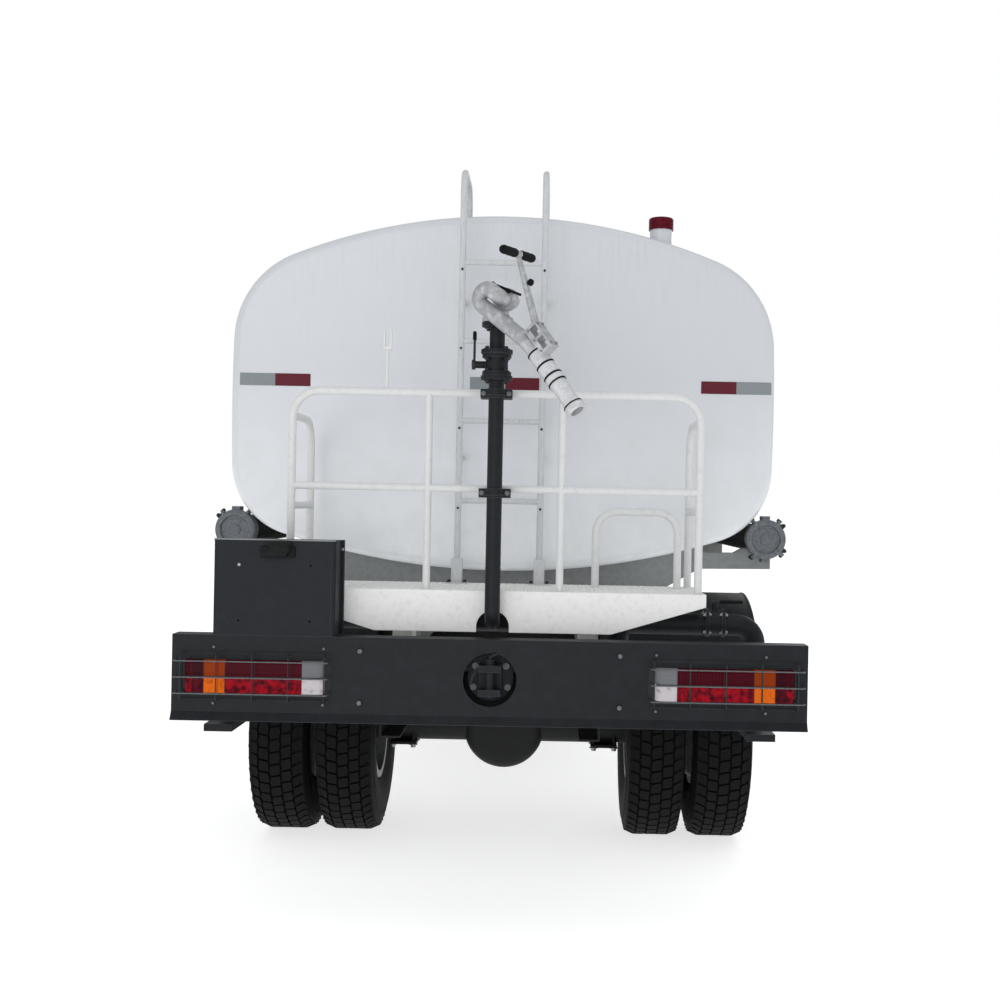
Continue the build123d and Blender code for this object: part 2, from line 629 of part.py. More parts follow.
# Guard rail of bent tube, with side returns, a grab loop and a fork rest
foot = PLATFORM_TOP
r_y = RAILING_AHEAD
tubes = [
    pipe([(-RAILING_HALF, r_y, foot), (-RAILING_HALF, r_y, RAILING_TOP), (RAILING_HALF, r_y, RAILING_TOP),
          (RAILING_HALF, r_y, foot)], RAILING_R, RAILING_BEND),
    bar_x(RAILING_R - 1, (-RAILING_HALF, RAILING_HALF), r_y, RAILING_MID),
    bar_z(RAILING_R - 1, -270, r_y, (foot, RAILING_TOP)),
    bar_z(RAILING_R - 1, 262, r_y, (foot, RAILING_TOP)),
    pipe([(413, 470, foot), (413, 470, 1657), (758, 470, 1657), (758, 470, foot)], RAILING_R, 90),
    bar_z(6, -441, r_y, (RAILING_TOP, 2300)),
    block((-458, -424), (r_y - 6, r_y + 6), (2288, 2300)),
    block((-458, -450), (r_y - 6, r_y + 6), (2290, 2364)),
    block((-432, -424), (r_y - 6, r_y + 6), (2290, 2364)),
]
for side in (-1, 1):
    x = side * RAILING_HALF
    tubes.append(pipe([(x, r_y, 2020), (x, RAILING_FRONT, 2020), (x, RAILING_FRONT, foot)], RAILING_R, 120))
    tubes.append(bar_y(RAILING_R - 1, x, (r_y, RAILING_FRONT), 1660))
save("railing", tubes[0] + tubes[1:4] + tubes[5:9] + tubes[9:], tubes[4])

# Ladder with rungs, foot sockets, stays to the tank and hooks over its top
LADDER_X = 176
LADDER_R = 14
LADDER_AHEAD = 575
ladder_top = TANK_TOP + 170
hook = TANK_TOP - (TANK_TOP_R - sqrt(TANK_TOP_R**2 - (LADDER_X - LADDER_R)**2)) + FIT
ladder_parts = []
for side in (-1, 1):
    x = side * LADDER_X
    ladder_parts.append(pipe([(x, LADDER_AHEAD, foot), (x, LADDER_AHEAD, ladder_top - LADDER_R),
                              (x, 950, ladder_top - LADDER_R), (x, 950, hook)], LADDER_R, 90))
    ladder_parts.append(block((x - 23, x + 23), (LADDER_AHEAD - 23, LADDER_AHEAD + 23), (foot, foot + 110)))
    ladder_parts.append(block((x - 45, x + 45), (LADDER_AHEAD - 40, LADDER_AHEAD + 40), (foot, foot + 8)))
    for height in (1880, 2560):
        ladder_parts.append(bar_y(12, x, (LADDER_AHEAD, TANK_REAR), height))
for height in (1692, 2034, 2376, 2714):
    ladder_parts.append(bar_x(12, (-LADDER_X, LADDER_X), LADDER_AHEAD, height))
save("ladder", joined(ladder_parts))

# Standpipe with top flange, ball valve and clamps on the guard rail
stand = pipe([(0, 300, PIPE_LOW), (0, PIPE_AHEAD, PIPE_LOW), (0, PIPE_AHEAD, PIPE_TOP - 9)], PIPE_R, 70)
stand_parts = [stand]
VALVE_RINGS = [
    dict(low=PIPE_TOP - 18, high=PIPE_TOP, radius=FLANGE_R),
    dict(low=2267, high=2283, radius=62),
    dict(low=2251, high=2267, radius=57),
    dict(low=2185, high=2251, radius=44),
    dict(low=2181, high=2197, radius=57),
    dict(low=2165, high=2181, radius=62),
]
for row in VALVE_RINGS:
    stand_parts.append(bar_z(row["radius"], 0, PIPE_AHEAD, (row["low"], row["high"])))
stand_parts.append(bar_x(14, (-85, 0), PIPE_AHEAD, 2224))
stand_parts.append(block((-92, -84), (PIPE_AHEAD - 14, PIPE_AHEAD + 14), (2205, 2352)))
for height in (RAILING_TOP - 8, RAILING_MID - 18):
    stand_parts.append(block((-62, 62), (PIPE_AHEAD, r_y - RAILING_R), (height - 18, height + 18)))
    stand_parts.append(bar_z(PIPE_R + 8, 0, PIPE_AHEAD, (height - 18, height + 18)))
save("standpipe", joined(stand_parts))

# Monitor, drawn with X along the jet, then turned to its parked place
aim = radians(MONITOR_YAW)
monitor_plane = Plane(origin=(0, ahead(PIPE_AHEAD), PIPE_TOP), x_dir=(sin(aim), -cos(aim), 0), z_dir=(0, 0, 1))


def bent(points, radius, bend):
    """Round pipe in the monitor's own directions."""
    path = FilletPolyline(*points, radius=bend)
    return sweep(Plane(origin=path @ 0, z_dir=path % 0) * Circle(radius), path=path)


def collar(radius, y, x=0, z=0):
    """Disc with its axis across the monitor."""
    return Pos(x, (y[0] + y[1]) / 2, z) * Rot(90, 0, 0) * Cylinder(radius, abs(y[1] - y[0]))


head = bent([(0, 0, 20), (0, 0, ELEVATION_RISE), (ELEVATION_OUT, 0, ELEVATION_RISE),
             (ELEVATION_OUT, -58, ELEVATION_RISE)], MONITOR_R, 34)
head = head + Pos(0, 0, 9 + FIT / 2) * Cylinder(FLANGE_R, 18 - FIT)
head = head + Pos(0, 0, 34) * Cylinder(44, 34)
head = head + collar(44, (-58, -46), ELEVATION_OUT, ELEVATION_RISE)
save("monitor_head", monitor_plane.location * head)

lean = radians(NOZZLE_BEND)
goose = bent([(0, -58 - FIT, 0), (0, -BARREL_SIDE, 0), (-GOOSE_BACK, -BARREL_SIDE, 0),
              (-GOOSE_BACK, -BARREL_SIDE, -BARREL_DROP), (NOZZLE_AT - 40, -BARREL_SIDE, -BARREL_DROP),
              (NOZZLE_AT + 40 * cos(lean), -BARREL_SIDE, -BARREL_DROP - 40 * sin(lean)),
              (NOZZLE_AT + 90 * cos(lean), -BARREL_SIDE, -BARREL_DROP - 90 * sin(lean))], MONITOR_R, 33)
goose = goose + collar(44, (-70, -58 - FIT))
tip = NOZZLE_LENGTH
nozzle_face = outline(
    (30, 0), (30, 33.5), (40, 34), (44, 36), (98, 36), (101, 33), (105, 33), (108, 37), (150, 37), (153, 33),
    (157, 33), (160, 37), (182, 37), (185, 33), (190, 34.5), (tip - 50, 31.5), (tip - 46, 34.5), (tip - 36, 34.5),
    (tip - 32, 37), (tip - 4, 40), (tip, 38), (tip, NOZZLE_BORE), (tip - 60, NOZZLE_BORE), (tip - 60, 0))
nozzle = revolve(nozzle_face, axis=Axis.X)
# Casting on the nozzle's root with two windows, which carries the handle
bracket = Pos(10, 0, 49) * Box(120, 56, 58)
for start, end in ((-40, 4), (14, 60)):
    bracket = bracket - Pos((start + end) / 2, 0, 56) * Box(end - start, 60, 30)
shaft = Vector(-315 + 46, 0, 167 - 62)
handle = Plane(origin=(-46, 0, 62), z_dir=shaft).location * Pos(0, 0, shaft.length / 2) * Cone(15, 10, shaft.length)
grip = collar(14, (-104, 104), -315, 167)
nozzle_set = joined([nozzle, bracket, handle, grip])
nozzle_set = Pos(NOZZLE_AT, -BARREL_SIDE, -BARREL_DROP) * Rot(0, NOZZLE_BEND, 0) * nozzle_set
barrel = joined([goose, nozzle_set])
barrel = Pos(ELEVATION_OUT, 0, ELEVATION_RISE) * Rot(0, MONITOR_PITCH, 0) * barrel
save("monitor_barrel", monitor_plane.location * barrel)

# Pump and pipes: cross pipe under the platform with valve and sprinklers, main along the frame, pump
CROSS_Y = 300
MAIN_X = 505
MAIN_Z = 1092
PUMP_AHEAD = 3210
PUMP_Z = 710
WATER_R = 44
pipes = [
    pipe([(-1060, CROSS_Y, 860), (-1060, CROSS_Y, PIPE_LOW), (880, CROSS_Y, PIPE_LOW)], WATER_R, 75),
    pipe([(920, CROSS_Y, PIPE_LOW), (1060, CROSS_Y, PIPE_LOW), (1060, CROSS_Y, 860)], WATER_R, 75),
    bar_x(58, (858, 872), CROSS_Y, PIPE_LOW + 8),
    bar_x(58, (924, 938), CROSS_Y, PIPE_LOW + 8),
    bar_x(52, (872, 924), CROSS_Y, PIPE_LOW + 8),
    bar_z(12, 898, CROSS_Y, (PIPE_LOW, 1300)),
    block((885, 1010), (CROSS_Y - 12, CROSS_Y + 12), (1294, 1302)),
]
for side in (-1, 1):
    x = side * 1060
    pipes.append(block((x - 55, x + 55), (CROSS_Y - 230, CROSS_Y + 30), (772, 800)))
    pipes.append(bar_z(50, x, CROSS_Y, (780, 870)))
cross_pipe = joined(pipes) - stand
save("water_pipework", cross_pipe)

pump_parts = [
    bar_y(190, 720, (PUMP_AHEAD - 90, PUMP_AHEAD + 90), PUMP_Z),
    bar_y(120, 720, (PUMP_AHEAD + 90, PUMP_AHEAD + 430), PUMP_Z),
    bar_x(80, (MAIN_X, 720), PUMP_AHEAD, PUMP_Z),
    bar_x(62, (720, 1100), PUMP_AHEAD, PUMP_Z),
    bar_x(85, (1080, 1100), PUMP_AHEAD, PUMP_Z),
    block((RAIL_X, 720), (PUMP_AHEAD + 230, PUMP_AHEAD + 350), (RAIL_BOTTOM, RAIL_BOTTOM + 60)),
]
pump = joined(pump_parts) - bar_x(50, (1020, 1110), PUMP_AHEAD, PUMP_Z)
save("pump", pump)

main = pipe([(MAIN_X, CROSS_Y, PIPE_LOW), (MAIN_X, CROSS_Y, MAIN_Z), (MAIN_X, PUMP_AHEAD, MAIN_Z),
             (MAIN_X, PUMP_AHEAD, PUMP_Z)], WATER_R, 60)
save("water_main", main - cross_pipe - pump)


# Cab: the common part of three drawings, each drawn inset by the same wall
def cab_solid(inset):
    side = outline((CAB_REAR, CAB_BOTTOM), (CAB_REAR, CAB_TOP - 20), (CAB_FRONT - 330, CAB_TOP),
                   (CAB_FRONT - 35, CAB_BELT), (CAB_FRONT, CAB_BELT - 400), (CAB_FRONT - 10, CAB_BOTTOM))
    upper = [v for v in side.vertices() if v.Y > CAB_BOTTOM + 10]
    side = fillet(upper, 130)
    front = outline((-CAB_HALF, CAB_BOTTOM), (-CAB_HALF, CAB_BELT), (-CAB_HALF + 65, CAB_TOP),
                    (CAB_HALF - 65, CAB_TOP), (CAB_HALF, CAB_BELT), (CAB_HALF, CAB_BOTTOM))
    front = fillet([v for v in front.vertices() if v.Y > CAB_BELT + 10], 170)
    plan = cab_plan()
    if inset:
        side = offset(side, amount=-inset)
        front = offset(front, amount=-inset)
        plan = offset(plan, amount=-inset)
    heights = (CAB_BOTTOM - 100, CAB_TOP + 100)
    solid = along_x(side, (-CAB_HALF, CAB_HALF)) & along_y(front, (CAB_REAR - 100, CAB_FRONT + 100))
    return solid & along_z(plan, heights)


def cab_plan():
    bow = ThreePointArc((-CAB_HALF, CAB_FRONT - 60), (0, CAB_FRONT), (CAB_HALF, CAB_FRONT - 60))
    back = Polyline((CAB_HALF, CAB_FRONT - 60), (CAB_HALF, CAB_REAR), (-CAB_HALF, CAB_REAR),
                    (-CAB_HALF, CAB_FRONT - 60))
    plan = make_face(bow + back)
    return fillet([v for v in plan.vertices() if v.Y > CAB_REAR + 10], 230)


cab_hollow = cab_solid(0) - cab_solid(CAB_WALL)
glass_layer = cab_solid(12) - cab_solid(20)

far = 1400
screen_z = (CAB_BELT + 25, CAB_ROOF_SPLIT - 70)
windscreen_face = outline((-1035, screen_z[0]), (-985, screen_z[1]), (985, screen_z[1]), (1035, screen_z[0]))
windscreen_face = fillet(windscreen_face.vertices(), (screen_z[1] - screen_z[0]) / 9)
windscreen_hole = along_y(windscreen_face, (CAB_FRONT - 400, CAB_FRONT + 100))
pane_z = (CAB_ROOF_SPLIT - CAB_BELT) * 0.6
rear_face = Pos(0, CAB_BELT + pane_z * 0.7) * RectangleRounded(900, pane_z, pane_z / 8)
rear_hole = along_y(rear_face, (CAB_REAR - 50, CAB_REAR + 100))


def door_face(grow):
    face = outline((DOOR_REAR, DOOR_BOTTOM), (DOOR_REAR, DOOR_TOP), (DOOR_FRONT - 140, DOOR_TOP),
                   (DOOR_FRONT, DOOR_KINK), (DOOR_FRONT, DOOR_BOTTOM))
    face = fillet([v for v in face.vertices() if v.X < DOOR_FRONT - 10], 50)
    return offset(face, amount=grow) if grow else face


sill = CAB_BELT + (DOOR_TOP - CAB_BELT) / 12
head = DOOR_TOP - (DOOR_TOP - CAB_BELT) / 10
window_face = outline((DOOR_REAR + 85, sill), (DOOR_REAR + 85, head), (DOOR_FRONT - 190, head),
                      (DOOR_FRONT - 80, DOOR_KINK + 8), (DOOR_FRONT - 80, sill))
window_face = fillet(window_face.vertices(), (head - sill) / 15)

floor_z = CAB_BOTTOM + CAB_WALL
wall_z = (floor_z, CAB_ROOF_SPLIT)
front_region = outline((CAB_FRONT + 200, CAB_BOTTOM - 50), (CAB_FRONT - 220, CAB_BOTTOM - 50),
                       (CAB_FRONT - 220, CAB_BELT), (CAB_FRONT - 450, CAB_ROOF_SPLIT),
                       (CAB_FRONT - 450, CAB_TOP + 50), (CAB_FRONT + 200, CAB_TOP + 50))
front_zone = along_x(front_region, (-far, far))
wall_zone = block((-far, far), (CAB_REAR - 100, CAB_FRONT + 100), wall_z)
back_zone = block((-far, far), (CAB_REAR - 100, CAB_REAR + CAB_WALL), wall_z)

cab_floor = cab_hollow & block((-far, far), (CAB_REAR - 100, CAB_FRONT + 100), (CAB_BOTTOM - 10, floor_z))
cab_roof = cab_hollow & block((-far, far), (CAB_REAR - 100, CAB_FRONT + 100), (CAB_ROOF_SPLIT, CAB_TOP + 10))
cab_back = (cab_hollow & back_zone) - rear_hole
cab_front = (cab_hollow & wall_zone & front_zone) - windscreen_hole
cab_sides = (cab_hollow & wall_zone) - front_zone - back_zone
for side in (-1, 1):
    opening = along_x(door_face(DOOR_GAP), (side * 700, side * far))
    cab_sides = cab_sides - opening
    cab_front = cab_front - opening

# Apron under the nose with the tilt lugs, and side aprons beside the steps
apron_z = (CAB_PIVOT_Z + 120, CAB_BOTTOM + 2)
apron = along_z(cab_plan(), apron_z) - along_z(offset(cab_plan(), amount=-40), apron_z)
apron = apron & block((-far, far), (CAB_FRONT - 250, CAB_FRONT + 50), apron_z)
floor_parts = [cab_floor, apron]
for side in (-1, 1):
    skirt_y = (NOSE_REAR + 20, CAB_FRONT - 250)
    floor_parts.append(block((side * (CAB_HALF - 45), side * CAB_HALF), skirt_y, (NOSE_TOP + 20, CAB_BOTTOM + 2)))
    floor_parts.append(block((side * 350, side * 410), (CAB_PIVOT_AHEAD - 26, CAB_PIVOT_AHEAD + 8),
                             (CAB_PIVOT_Z, CAB_PIVOT_Z + 140)))
    floor_parts.append(bar_x(30, (side * 350, side * 410), CAB_PIVOT_AHEAD, CAB_PIVOT_Z))
cab_floor = joined(floor_parts)
for side in (-1, 1):
    cab_floor = cab_floor - bar_x(15 + FIT, (side * 300, side * 450), CAB_PIVOT_AHEAD, CAB_PIVOT_Z)
save("cab_floor", cab_floor)
save("cab_roof", cab_roof)
save("cab_back", cab_back)

# Front panel with a shallow recess that holds the grille
GRILLE_HALF = 640
GRILLE_Z = (1330, 1680)
recess = block((-GRILLE_HALF, GRILLE_HALF), (CAB_FRONT - 34, CAB_FRONT + 50), GRILLE_Z)
cab_front = cab_front - recess
save("cab_front", cab_front)
grille_parts = [block((-GRILLE_HALF, GRILLE_HALF), (CAB_FRONT - 34, CAB_FRONT - 26), GRILLE_Z)]
for row in range(6):
    low = GRILLE_Z[0] + 12 + row * 57
    grille_parts.append(block((-GRILLE_HALF + 4, GRILLE_HALF - 4), (CAB_FRONT - 30, CAB_FRONT + 12), (low, low + 34)))
for x in (-GRILLE_HALF + 15, 0, GRILLE_HALF - 15):
    grille_parts.append(block((x - 11, x + 11), (CAB_FRONT - 30, CAB_FRONT + 4), GRILLE_Z))
grille = joined(grille_parts)
save("grille", grille)

windscreen = glass_layer & windscreen_hole
back_pane = glass_layer & rear_hole
save("cab_glass", windscreen, back_pane)

# Doors on outside hinges, each with its pane
HINGES = [dict(z=1480), dict(z=1820)]
hinge_at = DOOR_FRONT + DOOR_GAP / 2


def door_right():
    prism = along_x(door_face(0), (700, far))
    shape = (cab_hollow & prism) - along_x(window_face, (700, far))
    for row in HINGES:
        z = (row["z"] - 40, row["z"] + 40)
        shape = shape + block((CAB_HALF - 20, HINGE_X), (hinge_at - 60, hinge_at), z)
        shape = shape + bar_z(HINGE_R, HINGE_X, hinge_at, z)
        shape = shape - bar_z(7 + FIT, HINGE_X, hinge_at, (z[0] - 5, z[1] + 5))
    return shape


door = door_right()
door_pane = glass_layer & along_x(window_face, (700, far))
for name, turned in (("right", False), ("left", True)):
    save(f"door_{name}", mirror(door, about=Plane.YZ) if turned else door)
    save(f"door_glass_{name}", mirror(door_pane, about=Plane.YZ) if turned else door_pane)

side_parts = [cab_sides]
for side in (-1, 1):
    for row in HINGES:
        for low in (row["z"] - 58, row["z"] + 40 + FIT):
            ear_x = (side * (CAB_HALF - 20), side * (HINGE_X + HINGE_R))
            ear = block(ear_x, (hinge_at + 2, hinge_at + 60), (low, low + 17))
            side_parts.append(ear - along_x(door_face(DOOR_GAP), (side * 700, side * CAB_HALF)))
            side_parts.append(bar_z(HINGE_R, side * HINGE_X, hinge_at, (low, low + 17)))
        side_parts.append(bar_z(7, side * HINGE_X, hinge_at, (row["z"] - 58, row["z"] + 57)))
save("cab_sides", joined(side_parts))

# Cab inside: seats, dashboard with steering wheel
seats = []
for x in (-560, 560):
    base = block((x - 180, x + 180), (6250, 6620), (floor_z, 1600))
    cushion = fillet(block((x - 260, x + 260), (6180, 6700), (1600, 1730)).edges(), 35)
    rest = fillet(block((x - 250, x + 250), (6080, 6200), (1690, 2280)).edges(), 35)
    head_rest = fillet(block((x - 140, x + 140), (6090, 6180), (2260, 2450)).edges(), 30)
    seats.append(joined([base, cushion, rest, head_rest]))
save("seats", *seats)

dash_face = outline((7150, 1640), (7180, 1860), (7330, 1900), (7560, 1900), (7570, 1560), (7400, 1480), (7250, 1500))
dash = along_x(dash_face, (-1090, 1090))
cab_inside = cab_solid(CAB_WALL)
dash = dash & cab_inside
wheel_plane = Plane(origin=(-560, ahead(6960), 1860), x_dir=(1, 0, 0), z_dir=(0, -0.6, 0.8))
steering = wheel_plane.location * Torus(215, 16)
steering = steering + wheel_plane.location * (Box(400, 36, 18) + Cylinder(55, 36))
steering = steering + wheel_plane.location * Pos(0, 0, -190) * Cylinder(34, 380)
save("dashboard", dash + steering)

# Mirrors on arms from the front pillars
arm_z = (CAB_BELT + 60, CAB_ROOF_SPLIT - 150)
arm_y = CAB_FRONT - 160
mirror_arm = pipe([(CAB_HALF - 60, arm_y - 40, arm_z[1]), (CAB_HALF + 150, arm_y, arm_z[1]),
                   (CAB_HALF + 150, arm_y, arm_z[0]), (CAB_HALF - 40, arm_y - 10, arm_z[0])], 14, 60)
mirror_arm = mirror_arm - cab_solid(0)
mirror_head = block((CAB_HALF + 50, CAB_HALF + 260), (arm_y - 50, arm_y + 40), (arm_z[0] + 50, arm_z[1] - 50))
mirror_head = fillet(mirror_head.edges(), 30)
save("mirrors", *pair((mirror_arm + mirror_head) - along_x(door_face(DOOR_GAP), (700, far))))

# Front bumper: a wrapped shell with lamp pockets, an air slot and step wells
def nose_plan(inset):
    bow = ThreePointArc((-NOSE_HALF, NOSE - 70), (0, NOSE), (NOSE_HALF, NOSE - 70))
    back = Polyline((NOSE_HALF, NOSE - 70), (NOSE_HALF, NOSE_REAR - 300), (-NOSE_HALF, NOSE_REAR - 300),
                    (-NOSE_HALF, NOSE - 70))
    plan = fillet([v for v in make_face(bow + back).vertices() if v.Y > NOSE_REAR], 150)
    return offset(plan, amount=-inset) if inset else plan


nose_z = (NOSE_BOTTOM, NOSE_TOP)
nose = along_z(nose_plan(0), nose_z) - along_z(nose_plan(NOSE_WALL), nose_z)
nose = nose & block((-far, far), (NOSE_REAR, NOSE + 50), nose_z)
HEADLAMP_X = (700, 1120)
HEADLAMP_Z = (620, 800)
for side in (-1, 1):
    lamp_x = (side * HEADLAMP_X[0], side * HEADLAMP_X[1])
    nose = nose - block(lamp_x, (NOSE - 200, NOSE + 60), HEADLAMP_Z)
    for low in (500, 780):
        nose = nose - block((side * 1100, side * 1300), (NOSE_REAR + 80, NOSE_REAR + 430), (low, low + 170))
        tread_x = (side * (NOSE_HALF - 200), side * (NOSE_HALF - 2))
        nose = nose + block(tread_x, (NOSE_REAR + 60, NOSE_REAR + 450), (low - 25, low))
nose = nose - block((-480, 480), (NOSE - 200, NOSE + 60), (560, 700))
save("front_bumper", nose)

headlamp_layer = along_z(nose_plan(8), nose_z) - along_z(nose_plan(NOSE_WALL + 30), nose_z)
headlamps = []
for side in (-1, 1):
    lamp_x = (side * (HEADLAMP_X[0] + FIT), side * (HEADLAMP_X[1] - FIT))
    headlamps.append(headlamp_layer & block(lamp_x, (NOSE - 400, NOSE + 60), (HEADLAMP_Z[0] + FIT, HEADLAMP_Z[1] - FIT)))
save("headlamps", *headlamps)

# Brackets between frame, bumper and cab
brackets = []
for side in (-1, 1):
    brackets.append(block((side * 345, side * RAIL_X), (RAIL_END, NOSE - NOSE_WALL + 20), (770, 900)) - nose)
    ears = []
    for x in (330, 410 + FIT):
        ears.append(block((side * x, side * (x + 20 - FIT)), (RAIL_END, CAB_PIVOT_AHEAD + 30), (900, CAB_PIVOT_Z + 30)))
    ears.append(bar_x(15, (side * 330, side * 430), CAB_PIVOT_AHEAD, CAB_PIVOT_Z))
    brackets[-1] = joined([brackets[-1]] + ears)
    rest = block((side * 345, side * 520), (5880, 5980), (RAIL_TOP, RAIL_TOP + 40))
    rest = rest + bar_z(60, side * 470, 5930, (RAIL_TOP + 40, CAB_BOTTOM))
    brackets.append(rest)
save("cross_members", *members, *brackets)
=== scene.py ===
"""Water tanker truck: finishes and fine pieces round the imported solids, and a plain studio to show it in."""

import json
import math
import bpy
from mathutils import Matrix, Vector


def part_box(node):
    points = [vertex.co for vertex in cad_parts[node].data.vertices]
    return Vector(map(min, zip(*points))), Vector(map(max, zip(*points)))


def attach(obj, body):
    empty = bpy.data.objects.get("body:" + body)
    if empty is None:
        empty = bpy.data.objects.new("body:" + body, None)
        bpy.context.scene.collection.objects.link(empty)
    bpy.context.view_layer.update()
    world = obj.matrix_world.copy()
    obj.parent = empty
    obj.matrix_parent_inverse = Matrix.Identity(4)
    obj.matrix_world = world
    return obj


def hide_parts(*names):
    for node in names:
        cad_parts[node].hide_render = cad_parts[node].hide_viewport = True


bl_info = {
    "name": "Water Tanker Truck",
    "version": (1, 0, 0),
    "blender": (4, 5, 0),
    "location": "View3D > Sidebar > Tanker",
    "description": "Dresses the solids of a water tanker truck with tyres, lamps, fittings and paint",
    "category": "Object",
}

import bmesh
import bpy
from mathutils import Matrix, Vector
from mathutils.bvhtree import BVHTree

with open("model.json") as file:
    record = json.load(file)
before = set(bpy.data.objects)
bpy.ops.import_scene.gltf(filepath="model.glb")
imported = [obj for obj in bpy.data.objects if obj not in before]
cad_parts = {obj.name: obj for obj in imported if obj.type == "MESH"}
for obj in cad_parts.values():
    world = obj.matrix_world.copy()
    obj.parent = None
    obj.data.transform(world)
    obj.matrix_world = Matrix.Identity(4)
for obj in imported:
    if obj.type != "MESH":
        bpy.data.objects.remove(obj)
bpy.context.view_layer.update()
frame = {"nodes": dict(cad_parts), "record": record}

# Pieces are drawn in millimetres and brought to metres when they are finished.
MM = 0.001
SIDES = (-1, 1)
TYRE_R = 530
REAR_AXLE = Vector((0, -2012, TYRE_R))
FRONT_AXLE = Vector((0, 2588, TYRE_R))
BUMPER_Y = -3752
HEAD_Y = -3002
# Outer end and mid height of the tail lamps, and the standpipe's and ladder's places
LAMP_END, LAMP_Z = 1174, 998
PIPE_Y = -3660
LADDER_X, LADDER_Y = 176, -3177
HOSE_X, HOSE_Z = 1180, 1545
SEAT_X = 560
HANDS = tuple(zip(SIDES, ("left", "right")))
FINISH = {}


def linear(colour):
    """Linear RGBA of an sRGB hex colour."""
    parts = [int(colour[i : i + 2], 16) / 255 for i in (1, 3, 5)]
    return [c / 12.92 if c <= 0.04045 else ((c + 0.055) / 1.055) ** 2.4 for c in parts] + [1.0]


def add(tree, kind, inputs=None, **settings):
    """One node with its settings, and a value or a link for each input that is named."""
    made = tree.nodes.new(kind)
    for key, value in settings.items():
        setattr(made, key, value)
    for key, value in (inputs or {}).items():
        if isinstance(value, bpy.types.NodeSocket):
            tree.links.new(value, made.inputs[key])
        else:
            made.inputs[key].default_value = value
    return made


def spread(tree, place, row):
    """Share from 0 to 1 over the surface: a pattern of a size in mm, kept to a zone if there is one."""
    size = row.get("size", 100)
    size = size if isinstance(size, tuple) else (size, size, size)
    turned = add(tree, "ShaderNodeMapping", {
        "Vector": place, "Rotation": row.get("turn", (0, 0, 0)), "Scale": [1000 / s for s in size]})
    kind = row.get("kind", "ShaderNodeTexNoise")
    inputs = {"Vector": turned.outputs[0], **row.get("inputs", {})}
    texture = add(tree, kind, inputs, **row.get("settings", {}))
    value = texture.outputs[row.get("output", 0)]
    share = add(tree, "ShaderNodeMapRange", {
        "Value": value, "From Min": row.get("low", 0.35), "From Max": row.get("high", 0.65),
        "To Max": row.get("amount", 1.0)}).outputs[0]
    for axis, start, end in row.get("zones", ()):
        along = add(tree, "ShaderNodeSeparateXYZ", {0: place}).outputs[axis]
        inside = add(tree, "ShaderNodeMapRange", {"Value": along, "From Min": start * MM, "From Max": end * MM})
        share = add(tree, "ShaderNodeMath", {0: share, 1: inside.outputs[0]}, operation="MULTIPLY").outputs[0]
    return share


def tone(size, low, high, amount, colour, **more):
    """Layer of another colour: its pattern's size in mm, the noise values it fades between, and how much shows."""
    return dict(size=size, low=low, high=high, amount=amount, colour=colour, **more)


def bump(size, height):
    """Relief of a size and height in mm."""
    return dict(size=size, height=height)


def surface(name, colour, rough, layers=(), relief=(), edge=None, **shader):
    """Material of a base colour, tones over it, fine relief, and edges tinted over a radius to a colour, in part: wear
    on most finishes, a painted highlight where the colour is paler than a white paint.
    """
    made = bpy.data.materials.new(name)
    made.use_nodes = True
    tree = made.node_tree
    tree.nodes.clear()
    place = add(tree, "ShaderNodeTexCoord").outputs["Object"]
    tint, dull, normal = linear(colour), rough, None
    for row in layers:
        share = spread(tree, place, row)
        tint = add(tree, "ShaderNodeMix", {0: share, 6: tint, 7: linear(row["colour"])}, data_type="RGBA").outputs[2]
        if "rough" in row:
            dull = add(tree, "ShaderNodeMix", {0: share, 2: dull, 3: row["rough"]}).outputs[0]
    if edge:
        # Edge tint: worn edges on most finishes; on the white paints, and in part on the slate paint, a painted
        # highlight
        radius, edge_wear_and_highlight, amount = edge
        normal = add(tree, "ShaderNodeBevel", {"Radius": radius * MM}, samples=4).outputs[0]
        flat = add(tree, "ShaderNodeNewGeometry").outputs["Normal"]
        turn = add(tree, "ShaderNodeVectorMath", {0: normal, 1: flat}, operation="DOT_PRODUCT").outputs["Value"]
        share = add(tree, "ShaderNodeMapRange", {
            "Value": turn, "From Min": 0.99, "From Max": 0.75, "To Max": amount}).outputs[0]
        tint = add(tree, "ShaderNodeMix", {0: share, 6: tint, 7: linear(edge_wear_and_highlight)}, data_type="RGBA").outputs[2]
    for row in relief:
        inputs = {"Height": spread(tree, place, row), "Distance": row["height"] * MM}
        if normal:
            inputs["Normal"] = normal
        normal = add(tree, "ShaderNodeBump", inputs).outputs[0]
    skin = add(tree, "ShaderNodeBsdfPrincipled", {"Base Color": tint, "Roughness": dull})
    for key, value in shader.items():
        skin.inputs[key.replace("_", " ").title().replace("Ior", "IOR")].default_value = value
    if normal:
        tree.links.new(normal, skin.inputs["Normal"])
    tree.links.new(skin.outputs[0], add(tree, "ShaderNodeOutputMaterial").inputs[0])
    FINISH[name] = made
    return made


